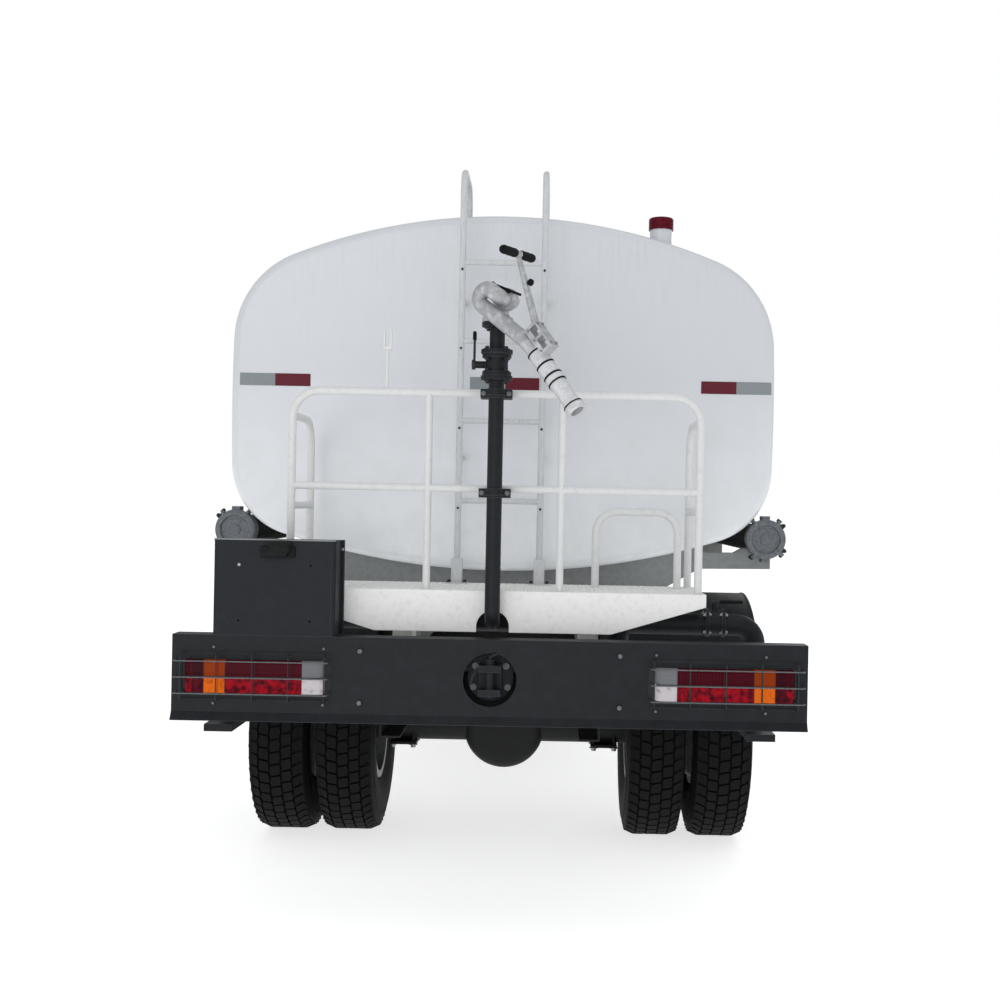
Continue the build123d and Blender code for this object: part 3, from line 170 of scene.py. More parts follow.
def mix_finishes(paint):
    """Every finish on the truck, by its name."""
    # Sprayed enamel on rolled sheet: cool white, long grey rain streaks from the top, gentle dents, some gloss; painted
    # light and shade: greyer above 2250 mm and paler low down, and a painted highlight along the rounded rim and edges
    surface("tank_white", paint.tank, 0.32, layers=[
        tone((14, 14, 1300), 0.56, 0.74, 0.36, "#8f9396", zones=[("Z", 2500, 2960)]),
        tone((60, 60, 900), 0.52, 0.8, 0.34, "#a6aaac", zones=[("Z", 2150, 2960)]),
        # Painted shade and light: an even grey over the tank above 2250 mm, fading out by 1480 mm so that the low part
        # reads brighter
        tone(700, 0.0, 0.2, 0.72, "#c3c6cc", zones=[("Z", 1480, 2250)]),
        tone(480, 0.4, 0.75, 0.24, "#cdd1d2", rough=0.45),
        tone(90, 0.55, 0.75, 0.12, "#b9b8b2", rough=0.6, zones=[("Z", 1750, 1380)]),
    # Paler edge tint: a painted highlight along the rim and edges
    ], relief=[dict(size=420, low=0.2, high=0.8, height=1.6)], edge=(5, "#f2f4f6", 0.35),
        coat_weight=0.2, coat_roughness=0.2)
    # The same enamel on the lid and breather, flatter and a little chalky, with a paler edge tint that is a painted
    # highlight
    surface("lid_white", "#d9dcde", 0.4, layers=[
        tone(90, 0.45, 0.75, 0.3, "#b9bab7", rough=0.6)],
        relief=[bump(60, 0.3)], edge=(3, "#eceeee", 0.4))
    # Brush painted plate: warm white, scuffed to grey; a paler copy of the rail paint, as painted light where the
    # platform faces the light, and a painted highlight along its edges
    surface("lit_deck_white", "#f1f1ef", 0.42, layers=[
        tone(110, 0.5, 0.8, 0.3, "#cfcec8", rough=0.55),
        tone(26, 0.64, 0.74, 0.35, "#a9a79f", rough=0.7)],
        relief=[bump(18, 0.12)], edge=(3, "#fafafa", 0.4))
    # Brush painted ladder tube: greyer, worn by boots in upright streaks, with a paler edge tint that is a painted
    # highlight
    surface("ladder_white", "#c9cbcd", 0.42, layers=[
        tone((60, 60, 240), 0.45, 0.75, 0.4, "#a9acae", rough=0.55),
        tone((16, 16, 50), 0.62, 0.74, 0.5, "#83868a", rough=0.7)],
        relief=[bump(18, 0.12)], edge=(3, "#dcdede", 0.3))
    # Brush painted rail tube: white with handled grey patches
    surface("rail_white", paint.rail, 0.38, layers=[
        tone(140, 0.5, 0.8, 0.3, "#c0c1c0", rough=0.5),
        tone((22, 22, 60), 0.66, 0.74, 0.5, "#8f8d86", rough=0.7)],
        relief=[bump(18, 0.12)], edge=(3, "#bdbbb4", 0.3))
    # Factory cab enamel under lacquer: clean white with road film low down, and a paler edge tint that is a painted
    # highlight
    surface("cab_white", paint.cab, 0.2, layers=[
        tone(300, 0.45, 0.8, 0.14, "#c4c8cb"),
        tone(90, 0.4, 0.8, 0.26, "#aaa598", rough=0.5, zones=[("Z", 1650, 1150)])],
        relief=[bump(260, 0.5)], edge=(8, "#f4f6f8", 0.25),
        coat_weight=0.6, coat_roughness=0.06)
    # Moulded bumper plastic, painted: the cab's white with road film and stone chips, and a paler edge tint that is a
    # painted highlight
    surface("front_grey", "#c2c5c8", 0.34, layers=[
        tone(80, 0.4, 0.8, 0.4, "#9c988e", rough=0.55, zones=[("Z", 900, 430)]),
        tone(9, 0.7, 0.74, 0.6, "#77756f", rough=0.7)],
        relief=[bump(200, 0.4)], edge=(8, "#e4e6e8", 0.3), coat_weight=0.25)
    # Satin slate paint on folded plate: a dusty bloom, and pale grey along folds and edges, partly worn bare, partly a
    # painted highlight
    surface("dark_paint", paint.slate, 0.5, layers=[
        tone(220, 0.4, 0.75, 0.45, "#22262b", rough=0.6),
        tone((9, 9, 40), 0.64, 0.74, 0.3, "#33373a", rough=0.75)],
        relief=[bump(9, 0.1), bump(500, 1.0)],
        edge=(3.5, "#6d7479", 0.6), specular_ior_level=0.22)
    # The same slate paint on the equipment box: fewer scuffs, gentle dents
    surface("box_paint", "#171a1f", 0.52, layers=[
        tone(180, 0.4, 0.75, 0.45, "#23282e", rough=0.62),
        tone((14, 14, 70), 0.64, 0.76, 0.25, "#303438")],
        relief=[bump(260, 0.8)], edge=(3, "#4a4f54", 0.45), specular_ior_level=0.22)
    # Matt chassis black with road dust in patches
    surface("frame_paint", "#101113", 0.62, layers=[
        tone(160, 0.42, 0.72, 0.45, "#2a2823", rough=0.85),
        tone(30, 0.6, 0.75, 0.3, "#3a3730", rough=0.9)],
        relief=[bump(12, 0.25)], edge=(3, "#3c3b39", 0.4), specular_ior_level=0.25)
    # Saddle paint, brushed on and streaked with rust brown water; its white is painted mid grey as painted shade, for
    # the shade under the tank
    surface("saddle_grey", "#8a8d8d", 0.55, layers=[
        tone(130, 0.45, 0.75, 0.45, "#727470", rough=0.7),
        tone((18, 18, 120), 0.62, 0.75, 0.4, "#6a5f50", rough=0.8)],
        relief=[bump(20, 0.25)], edge=(3, "#a9abab", 0.4))
    # Silver wheel paint over pressed steel, brake dust towards the hub
    surface("rim_steel", "#83868a", 0.42, layers=[
        tone(60, 0.4, 0.75, 0.55, "#524e47", rough=0.7)],
        relief=[bump(25, 0.2)], edge=(2.5, "#aeb0b2", 0.35), metallic=0.35)
    # Moulded tyre rubber: near black, greyed by dust on the side walls
    surface("tyre_rubber", "#08090b", 0.75, layers=[
        tone(110, 0.4, 0.7, 0.4, "#0f0f0e", rough=0.85),
        tone(14, 0.55, 0.75, 0.22, "#181815", rough=0.92)],
        relief=[bump(5, 0.2)], specular_ior_level=0.18)
    # Ribbed suction hose: dull black rubber, pale chalk on the crests
    surface("hose_rubber", "#0c0d0e", 0.6, layers=[
        tone(90, 0.45, 0.75, 0.45, "#22211e", rough=0.8)],
        relief=[bump(8, 0.15)], specular_ior_level=0.3)
    # Sand cast aluminium: silver grey skin, dull oxide in soft patches, darker patches of dirt, the gooseneck darker
    # than the nozzle, partly dirt and partly painted shade, bright handled edges
    casting = dict(relief=[bump(4.5, 0.18), bump(40, 0.4)],
                   edge=(3, "#e4e5e6", 0.6), metallic=0.55)
    surface("cast_aluminium", paint.monitor, 0.42, layers=[
        # Gooseneck above 2300 mm darker than the nozzle: partly dirt, partly painted shade
        tone(150, 0.2, 0.55, 0.6, "#7d7f81", rough=0.5, zones=[("Z", 2210, 2300)]),
        tone(70, 0.46, 0.66, 0.2, "#9b9d9f", rough=0.55),
        tone((60, 14, 60), 0.58, 0.72, 0.28, "#606160", rough=0.62),
        tone(9, 0.6, 0.72, 0.3, "#73746f", rough=0.66)], **casting)
    # The same casting on the hose caps: duller and darker
    surface("dull_casting", "#70757a", 0.55, layers=[
        tone(60, 0.42, 0.68, 0.5, "#54585b", rough=0.65),
        tone(10, 0.58, 0.7, 0.4, "#43453f", rough=0.72)], **casting)
    # Iron castings under black paint: lumpy skin with a rust grey bloom
    surface("iron", "#121417", 0.55, layers=[
        tone(70, 0.45, 0.75, 0.45, "#26251f", rough=0.75)],
        relief=[bump(7, 0.3)], edge=(3, "#46484a", 0.45), specular_ior_level=0.3)
    # Drawn wire, galvanised then painted over: thin grey glints
    surface("guard_wire", "#6a6e70", 0.4, layers=[
        tone(24, 0.45, 0.7, 0.6, "#3a3e42", rough=0.55)],
        relief=[bump(6, 0.1)], metallic=0.5)
    # Moulded acrylic lenses: deep clear colour, pressed prisms a few mm wide; the lower half painted brighter for the
    # light of the reflectors behind it, the upper half darker for the shade of the guard wires
    prisms = [dict(kind="ShaderNodeTexWave", size=(6, 6, 6), low=0.0, high=1.0, height=0.5,
                   settings=dict(wave_type="BANDS", bands_direction="X"), inputs={"Scale": 0.16}),
              dict(kind="ShaderNodeTexWave", size=(8, 8, 8), low=0.0, high=1.0, height=0.4,
                   settings=dict(wave_type="BANDS", bands_direction="Z"), inputs={"Scale": 0.16})]
    # Painted light: each lens brighter below 996 mm of height, for its reflectors' light
    lens_painted_light = dict(size=130, low=0.36, high=0.62, zones=[("Z", 1000, 996)])
    gloss = dict(specular_ior_level=0.07, coat_roughness=0.1)
    surface("red_lens", "#450414", 0.26, layers=[dict(lens_painted_light, colour="#a5091c", amount=0.9)], relief=prisms, **gloss)
    surface("dark_red_lens", "#360612", 0.22, layers=[dict(lens_painted_light, colour="#5e0a1c", amount=0.8)], relief=prisms, **gloss)
    surface("amber_lens", "#8f3508", 0.2, layers=[dict(lens_painted_light, low=0.2, high=0.45, colour="#e56a12", amount=0.9)],
            relief=prisms, **gloss)
    surface("clear_lens", "#74767a", 0.16, layers=[dict(lens_painted_light, low=0.2, high=0.45, colour="#cfc9cc", amount=0.9)],
            relief=prisms, **gloss)
    surface("lamp_red", "#4e0d1a", 0.24, layers=[
        tone(40, 0.4, 0.7, 0.5, "#7a1c2a")], relief=[bump(12, 0.2)], **gloss)
    # Clear polycarbonate over the headlamps, and tinted float glass in the cab
    surface("lamp_clear", "#eef2f4", 0.05, relief=[bump(30, 0.1)], transmission_weight=1.0, ior=1.5)
    surface("window_glass", "#9fb5b2", 0.02, relief=[bump(400, 0.15)], transmission_weight=1.0, ior=1.45)
    # Woven seat cloth: dark thread with a fine over-and-under relief, drawn coarse so that it shows
    surface("seat_cloth", "#33363b", 0.9, layers=[
        dict(kind="ShaderNodeTexChecker", size=7, low=0.0, high=1.0, amount=0.28, colour="#4a4e55", output=1,
             inputs={"Scale": 1.0})], relief=[bump(6, 0.5)], sheen_weight=0.4)
    # Grained ABS: black moulded plastic with a leather-like grain
    surface("dark_plastic", "#141618", 0.5, layers=[
        tone(120, 0.45, 0.75, 0.35, "#222322", rough=0.65)],
        relief=[dict(kind="ShaderNodeTexVoronoi", size=4, low=0.0, high=0.8, height=0.15)],
        edge=(4, "#33363a", 0.4), specular_ior_level=0.35)
    # Rolled aluminium sheet: bright, with fine lines along the roll
    surface("sheet_aluminium", "#a9acae", 0.34, layers=[
        tone((4, 300, 4), 0.4, 0.7, 0.4, "#8d9092", rough=0.45)],
        relief=[bump((3, 200, 3), 0.05)], edge=(4, "#c6c8c9", 0.4),
        metallic=0.85)
    # Silencer steel dulled by heat: straw brown over grey
    surface("hot_steel", "#6b655e", 0.5, layers=[
        tone(80, 0.4, 0.7, 0.6, "#4e3f33", rough=0.75)],
        relief=[bump(10, 0.2)], edge=(3, "#8a857e", 0.3), metallic=0.6)
    # Zinc plated fasteners: pale grey glints; black oxide ones: oily dark
    surface("zinc_plate", "#9da0a2", 0.38, layers=[
        tone(9, 0.4, 0.7, 0.5, "#6e6f6a", rough=0.55)], metallic=0.8)
    surface("black_oxide", "#17191b", 0.45, layers=[
        tone(9, 0.4, 0.7, 0.4, "#303030", rough=0.6)], specular_ior_level=0.4)
    # Glass bead sheeting: flat red and silver with a fine honeycomb of cells
    cells = [dict(kind="ShaderNodeTexVoronoi", size=5, low=0.0, high=0.6, height=0.25)]
    surface("red_sheeting", paint.tape, 0.4, relief=cells, layers=[
        tone(35, 0.4, 0.75, 0.35, "#701c30")], specular_ior_level=0.25)
    surface("silver_sheeting", "#858c8f", 0.42, relief=cells, layers=[
        tone(35, 0.4, 0.75, 0.35, "#979ea0")], specular_ior_level=0.3)
    # Vapour coated reflector and mirror glass
    surface("bright_reflector", "#d9dcde", 0.08, relief=[bump(14, 0.3)], metallic=1.0)
    # Foam rubber grips: soft black with an open skin
    surface("grip_foam", "#0b0c0e", 0.8, layers=[
        tone(12, 0.4, 0.7, 0.4, "#1c1d1f")], relief=[bump(3.5, 0.35)],
        specular_ior_level=0.2)
    # Extruded rubber seals and mats: matt black, faintly dusty
    surface("seal_rubber", "#0d0e0f", 0.7, layers=[
        tone(60, 0.45, 0.75, 0.4, "#242421", rough=0.85)], relief=[bump(6, 0.15)],
        specular_ior_level=0.25)
    # Printed dial: black face behind clear plastic, pale marks
    surface("dial_black", "#0a0b0d", 0.25, layers=[tone(20, 0.4, 0.7, 0.3, "#15171a")])
    surface("dial_white", "#d8dadb", 0.4, layers=[tone(6, 0.4, 0.7, 0.2, "#b9bbbc")])


def facing(point, towards):
    """Place at a point with its Z along a direction."""
    return Matrix.Translation(point) @ Vector(towards).to_track_quat("Z", "Y").to_matrix().to_4x4()


def soften(part, width, segments=2, edges=None):
    """Round the sharp edges of a part, or the ones given."""
    if edges is None:
        edges = [e for e in part.edges if len(e.link_faces) == 2 and e.calc_face_angle(0) > 0.6]
    bmesh.ops.bevel(part, geom=edges, offset=width, offset_type="OFFSET", segments=segments, profile=0.5,
                    affect="EDGES", material=-1)


def take_in(whole, part, finish=0):
    """Close a part's seams, point its faces outwards and add it to a piece."""
    bmesh.ops.remove_doubles(part, verts=part.verts, dist=0.004)
    bmesh.ops.recalc_face_normals(part, faces=part.faces)
    if finish is not None:
        for face in part.faces:
            face.material_index = finish
    mesh = bpy.data.meshes.new("part")
    part.to_mesh(mesh)
    part.free()
    whole.from_mesh(mesh)
    bpy.data.meshes.remove(mesh)


def every(part):
    """All points, edges and faces of a part."""
    return part.verts[:] + part.edges[:] + part.faces[:]


def moved(place, points):
    """Points carried over to a place."""
    return [place @ Vector(p) for p in points]


def cube(low, high):
    """Plain box between two corners, as a new part."""
    low, high = Vector(low), Vector(high)
    part = bmesh.new()
    bmesh.ops.create_cube(part, size=1, matrix=Matrix.LocRotScale((low + high) / 2, None, high - low))
    return part


def slab(whole, low, high, soft=0.0, finish=0, segments=2):
    """Box between two corners with rounded edges."""
    part = cube(low, high)
    if soft:
        soften(part, soft, segments)
    take_in(whole, part, finish)


def flank(whole, side, x, y, z, soft=0.0, finish=0, segments=2):
    """Rounded box on one side of the truck, by its two ends along each axis."""
    low, high = sorted((side * x[0], side * x[1]))
    slab(whole, (low, y[0], z[0]), (high, y[1], z[1]), soft, finish, segments)


def stud(whole, place, radius, length, sides=24, soft=0.0, tip=None, finish=0):
    """Round or many-sided boss that stands on a place."""
    part = bmesh.new()
    bmesh.ops.create_cone(part, cap_ends=True, segments=sides, radius1=radius, radius2=radius if tip is None else tip,
                          depth=length, matrix=place @ Matrix.Translation((0, 0, length / 2)))
    if soft:
        soften(part, soft, 2)
    take_in(whole, part, finish)


def bolt(whole, point, towards, across=19, finish=0, washer=True):
    """Hexagon head, with or without a washer."""
    place = facing(point, towards)
    if washer:
        stud(whole, place, across * 0.95, across * 0.14, 16, finish=finish)
    stud(whole, place, across * 0.577, across * 0.72, 6, across * 0.07, finish=finish)


def lathe(whole, profile, place, steps=48, finish=0):
    """Turned shape from a profile of radius and height about a place's Z."""
    part = bmesh.new()
    line = [part.verts.new(place @ Vector((r, 0, h))) for r, h in profile]
    edges = [part.edges.new(ends) for ends in zip(line, line[1:])]
    bmesh.ops.spin(part, geom=line + edges, cent=place.translation, axis=place.to_3x3() @ Vector((0, 0, 1)),
                   dvec=(0, 0, 0), angle=math.tau, steps=steps, use_merge=True)
    take_in(whole, part, finish)


def wire(whole, points, radius, closed=False, smooth=False, finish=0):
    """Round bar along points."""
    curve = bpy.data.curves.new("wire", "CURVE")
    curve.dimensions = "3D"
    curve.bevel_depth = radius
    curve.bevel_resolution = 2
    curve.use_fill_caps = True
    line = curve.splines.new("NURBS" if smooth else "POLY")
    line.points.add(len(points) - 1)
    for slot, point in zip(line.points, points):
        slot.co = (*point, 1)
    line.use_cyclic_u = closed
    if smooth:
        line.order_u = 3
        line.use_endpoint_u = not closed
        line.resolution_u = 6
    holder = bpy.data.objects.new("wire", curve)
    mesh = bpy.data.meshes.new_from_object(holder)
    part = bmesh.new()
    part.from_mesh(mesh)
    bpy.data.objects.remove(holder)
    bpy.data.meshes.remove(mesh)
    bpy.data.curves.remove(curve)
    take_in(whole, part, finish)


def touch(node, start, towards):
    """Point in mm where a line from a start meets a carried-over solid."""
    mesh = frame["nodes"][node].data
    skin = BVHTree.FromPolygons([v.co for v in mesh.vertices], [f.vertices for f in mesh.polygons])
    point = skin.ray_cast(Vector(start) * MM, Vector(towards))[0]
    if point is None:
        raise RuntimeError(f"{node} isn't met from {tuple(start)}")
    return point / MM


def eased(corners, reach):
    """Control points of a closed line that rounds its corners."""
    points = []
    corners = [Vector(c) for c in corners]
    for before, corner, after in zip(corners[-1:] + corners[:-1], corners, corners[1:] + corners[:1]):
        points += [corner + (before - corner).normalized() * reach, corner,
                   corner + (after - corner).normalized() * reach]
    return points


def girths(node, y):
    """Closed lines of points in mm where an upright plane across the truck cuts a carried-over solid."""
    part = bmesh.new()
    part.from_mesh(frame["nodes"][node].data)
    bmesh.ops.remove_doubles(part, verts=part.verts, dist=1e-5)
    bmesh.ops.bisect_plane(part, geom=every(part), plane_co=(0, y * MM, 0),
                           plane_no=(0, 1, 0), clear_inner=True, clear_outer=True)
    lines, met = [], set()
    for first in part.verts:
        line, ahead = [], [first]
        while ahead and ahead[0] not in met:
            met.add(ahead[0])
            line.append(ahead[0])
            ahead = [v for v in (e.other_vert(line[-1]) for e in line[-1].link_edges) if v not in met]
        if len(line) > 2:
            lines.append([v.co / MM for v in line])
    part.free()
    return lines


def strap(whole, node, y, wide, thick, finish=0):
    """Flat band drawn round a carried-over solid."""
    for line in girths(node, y):
        middle = sum(line, Vector()) / len(line)
        ways = []
        for before, point, after in zip(line[-1:] + line[:-1], line, line[1:] + line[:1]):
            way = (after - before).cross(Vector((0, 1, 0))).normalized()
            ways.append(way if way.dot(point - middle) > 0 else -way)
        part = bmesh.new()
        rings = []
        for shift, out in ((-wide / 2, -1), (-wide / 2, thick), (wide / 2, thick), (wide / 2, -1)):
            rings.append([part.verts.new(p + w * out + Vector((0, shift, 0))) for p, w in zip(line, ways)])
        for ring, after in zip(rings, rings[1:] + rings[:1]):
            for step in range(len(ring)):
                part.faces.new((ring[step - 1], ring[step], after[step], after[step - 1]))
        take_in(whole, part, finish)


def bent(whole, low, high, bend, soft=0.0, finish=0, pitch=13):
    """Box cut across X and pushed along Y by a rule, to follow a curved face."""
    part = cube(low, high)
    if soft:
        soften(part, soft)
    for step in range(1, int((high[0] - low[0]) / pitch)):
        bmesh.ops.bisect_plane(part, geom=every(part),
                               plane_co=(low[0] + pitch * step, 0, 0), plane_no=(1, 0, 0))
    for vert in part.verts:
        vert.co.y += bend(vert.co.x)
    take_in(whole, part, finish)


def nose(x):
    """How far the front bumper's face curves back from its middle."""
    return -70 * (x / 1225) ** 2


def rim(x):
    """How far the tank's rear head rolls forward towards its edge."""
    return 40 - math.sqrt(1600 - max(0, abs(x) - 1165) ** 2)


def on_screen(x, z, off):
    """Point at a distance in front of the windscreen's plane."""
    return Vector((x, 3853 - 0.307 * (z - 1900) + 0.956 * off, z + 0.2935 * off))


def bead(whole, axle, radius, x, low, size, finish=0):
    """Rolled edge along an arch over an axle, down to a height."""
    start = math.asin((low - axle.z) / radius)
    foot = axle + Vector((x, radius * math.cos(start), radius * math.sin(start)))
    part = bmesh.new()
    bmesh.ops.create_circle(part, cap_ends=False, segments=10, radius=size,
                            matrix=facing(foot, (0, -math.sin(start), math.cos(start))))
    bmesh.ops.spin(part, geom=part.verts[:] + part.edges[:], cent=axle, axis=(1, 0, 0), dvec=(0, 0, 0),
                   angle=math.pi - 2 * start, steps=48)
    bmesh.ops.holes_fill(part, edges=part.edges)
    take_in(whole, part, finish)


def piece(name, whole, body, finishes, stands_for=(), angle=35):
    """Finish a piece in metres, with its materials, on the body that carries it."""
    bmesh.ops.scale(whole, vec=(MM, MM, MM), verts=whole.verts)
    for face in whole.faces:
        face.smooth = True
    mesh = bpy.data.meshes.new(name)
    whole.to_mesh(mesh)
    whole.free()
    mesh.set_sharp_from_angle(angle=math.radians(angle))
    for finish in finishes:
        mesh.materials.append(FINISH[finish])
    made = bpy.data.objects.new(name, mesh)
    bpy.context.scene.collection.objects.link(made)
    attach(made, body)
    if stands_for:
        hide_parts(*stands_for)
    return made


class TankerPaint(bpy.types.PropertyGroup):
    """Colours that a user may change."""

    tank: bpy.props.StringProperty(name="Tank", description="Tank enamel, sRGB hex", default="#eaedf0")
    rail: bpy.props.StringProperty(name="Rails", description="Guard rail and platform paint", default="#d9dada")
    cab: bpy.props.StringProperty(name="Cab", description="Cab enamel", default="#dfe1e4")
    slate: bpy.props.StringProperty(name="Slate", description="Bumper and pipe paint", default="#15181c")
    monitor: bpy.props.StringProperty(name="Monitor", description="Cast aluminium", default="#d9dadd")
    tape: bpy.props.StringProperty(name="Tape", description="Red sheeting", default="#5c1022")


class TankerSizes(bpy.types.PropertyGroup):
    """Sizes that a user may change, in millimetres."""

    tread_depth: bpy.props.FloatProperty(name="Tread depth", description="Height of the tread blocks", default=15.0)
    tread_blocks: bpy.props.IntProperty(name="Tread blocks", description="Blocks round each rib", default=54)
    rib_pitch: bpy.props.FloatProperty(name="Hose rib pitch", description="Distance between hose ribs", default=24.0)
    plate_pitch: bpy.props.FloatProperty(name="Plate pitch", description="Spacing of the plate's marks", default=30.0)
    tape_height: bpy.props.FloatProperty(name="Tape height", description="Height of the sheeting", default=55.0)


class TANKER_OT_paint(bpy.types.Operator):
    """Give every carried-over solid the finish of its slot"""

    bl_idname = "tanker.paint"
    bl_label = "Paint"

    def execute(self, context):
        mix_finishes(context.scene.tanker_paint)
        special = {"platform": "lit_deck_white", "ladder": "ladder_white", "hose_couplings": "dull_casting",
                   "equipment_box": "box_paint"}
        for row in frame["record"]["subparts"]:
            node = frame["nodes"][row["node"]]
            node.data.materials.clear()
            node.data.materials.append(FINISH[special.get(row["node"], row["material_slot"])])
        return {"FINISHED"}


def tyre(whole, centre, sizes):
    """One tyre: turned carcass with ribbed sidewalls, and five rows of six-sided tread blocks."""
    place = facing(centre, (1, 0, 0))
    wall = [(251, 106), (276, 108), (286, 115), (292, 114), (330, 132), (362, 139), (395, 142), (430, 141),
            (446, 139), (449, 141), (456, 141), (459, 138), (478, 135), (490, 133), (502, 128)]
    crown = [(508, 116), (TYRE_R - sizes.tread_depth, 105)]
    profile = wall + crown + [(r, -h) for r, h in reversed(wall + crown)]
    lathe(whole, profile, place, 80)
    part = bmesh.new()
    pitch = math.tau * TYRE_R / sizes.tread_blocks
    ribs = [(-105, 20, 0.5), (-54, 21, 0.0), (0, 22, 0.5), (54, 21, 0.0), (105, 20, 0.5)]
    half = pitch / 2 - 5
    low = TYRE_R - 2 - sizes.tread_depth
    for at, wide, phase in ribs:
        lean = 9 if at < 0 else -9
        plan = [(-half, -wide), (0, -wide - 4), (half, -wide), (half + lean, wide), (lean, wide + 4),
                (lean - half, wide)]
        base = []
        for along, across in plan:
            turn = (along + phase * pitch) / TYRE_R
            base.append(part.verts.new((low * math.cos(turn), low * math.sin(turn), at + across)))
        grown = bmesh.ops.extrude_face_region(part, geom=[part.faces.new(base)])
        for vert in [v for v in grown["geom"] if isinstance(v, bmesh.types.BMVert)]:
            height = TYRE_R - max(0, abs(vert.co.z) - 106) * 1.1
            vert.co.xy = vert.co.xy.normalized() * height
            vert.co.z = at + (vert.co.z - at) * 0.95
    bmesh.ops.spin(part, geom=every(part), cent=(0, 0, 0), axis=(0, 0, 1),
                   dvec=(0, 0, 0), angle=math.tau * (1 - 1 / sizes.tread_blocks), steps=sizes.tread_blocks - 1,
                   use_duplicate=True)
    bmesh.ops.transform(part, matrix=place, verts=part.verts)
    take_in(whole, part)


class TANKER_OT_tyres(bpy.types.Operator):
    """Tyres with real tread, in place of the plain ones"""

    bl_idname = "tanker.tyres"
    bl_label = "Tyres"

    def execute(self, context):
        sizes = context.scene.tanker_sizes
        for side, hand in HANDS:
            whole = bmesh.new()
            for x in (752.5, 1077.5):
                tyre(whole, REAR_AXLE + Vector((side * x, 0, 0)), sizes)
            piece(f"rear_tread_{hand}", whole, f"{hand}_rear_wheels", ["tyre_rubber"],
                  [f"rear_tyres_{hand}"])
            whole = bmesh.new()
            tyre(whole, FRONT_AXLE + Vector((side * 1005, 0, 0)), sizes)
            piece(f"front_tread_{hand}", whole, f"{hand}_front_wheel", ["tyre_rubber"],
                  [f"front_tyre_{hand}"])
        return {"FINISHED"}


class TANKER_OT_wheel_nuts(bpy.types.Operator):
    """Nuts, hub bolts and valve stems on the wheels"""

    bl_idname = "tanker.wheel_nuts"
    bl_label = "Wheel nuts"

    def execute(self, context):
        rows = [("rear_wheels", REAR_AXLE, 929, 1062, 60), ("front_wheel", FRONT_AXLE, 1167.5, 1215.5, 52)]
        for side, hand in HANDS:
            out = Vector((side, 0, 0))
            for name, axle, face, hub, ring in rows:
                whole = bmesh.new()
                for step in range(8):
                    turn = math.tau * step / 8
                    spoke = Vector((0, math.cos(turn), math.sin(turn)))
                    at = axle + spoke * 148 + out * face
                    bolt(whole, at, out, 32)
                    stud(whole, facing(at, out), 9, 36, 12, 1.5)
                    spoke.rotate(Matrix.Rotation(math.tau / 16, 3, "X"))
                    bolt(whole, axle + spoke * ring + out * hub, out, 13)
                stem = axle + Vector((side * (face - 6), 0, 200))
                wire(whole, [stem, stem + out * 26, stem + out * 40 + Vector((0, 0, 14))], 5)
                piece(f"{name}_{hand}_nuts", whole, f"{hand}_{name}", ["zinc_plate"])
        return {"FINISHED"}


class TANKER_OT_tail_lamps(bpy.types.Operator):
    """Tail lamps with lens segments in a dark housing"""

    bl_idname = "tanker.tail_lamps"
    bl_label = "Tail lamps"

    def execute(self, context):
        # Lens colours from the outer end inwards, by the distance at which each one ends
        rows = [("red_lens", 33), ("dark_red_lens", 77), ("amber_lens", 159), ("red_lens", 453), ("clear_lens", 539)]
        names = ["dark_red_lens", "red_lens", "amber_lens", "clear_lens", "dark_plastic"]
        for side, hand in HANDS:
            whole = bmesh.new()
            middle = side * 904.5
            part = cube((middle - 269.5, BUMPER_Y - 16, LAMP_Z - 64), (middle + 269.5, BUMPER_Y + 40, LAMP_Z + 64))
            ends = [e for e in part.edges if all(v.co.y < BUMPER_Y for v in e.verts) and
                    abs(e.verts[0].co.x - e.verts[1].co.x) < 1]
            soften(part, 26, 5, ends)
            soften(part, 7, 3)
            for name, end in rows[:-1]:
                bmesh.ops.bisect_plane(part, geom=every(part),
                                       plane_co=(side * (LAMP_END - end), 0, 0), plane_no=(1, 0, 0))
            for face in part.faces:
                inward = LAMP_END - abs(face.calc_center_median().x)
                name = next((n for n, end in rows if inward < end), "clear_lens")
                face.material_index = names.index(name)
            take_in(whole, part, None)
            # Housing, wider than the lens so that no light passes round it
            middle = side * 896.5
            part = cube((middle - 289.4, BUMPER_Y + 3, LAMP_Z - 72.9), (middle + 289.4, BUMPER_Y + 49, LAMP_Z + 72.9))
            soften(part, 37.8, 6, [e for e in part.edges if abs(e.verts[0].co.y - e.verts[1].co.y) > 1])
            soften(part, 2.5, 2)
            take_in(whole, part, 4)
            for end in (77, 130, 159, 273, 408, 453):
                at = side * (LAMP_END - end)
                slab(whole, (at - 1.2, BUMPER_Y - 17, 937), (at + 1.2, BUMPER_Y, 1059), 0.5, 4)
            flank(whole, side, (640, 1168), (BUMPER_Y - 17.5, BUMPER_Y), (LAMP_Z - 1.5, LAMP_Z + 1.5), 0.6, 4)
            piece(f"tail_lamp_{hand}", whole, "chassis", names, ["tail_lamps"])
        return {"FINISHED"}


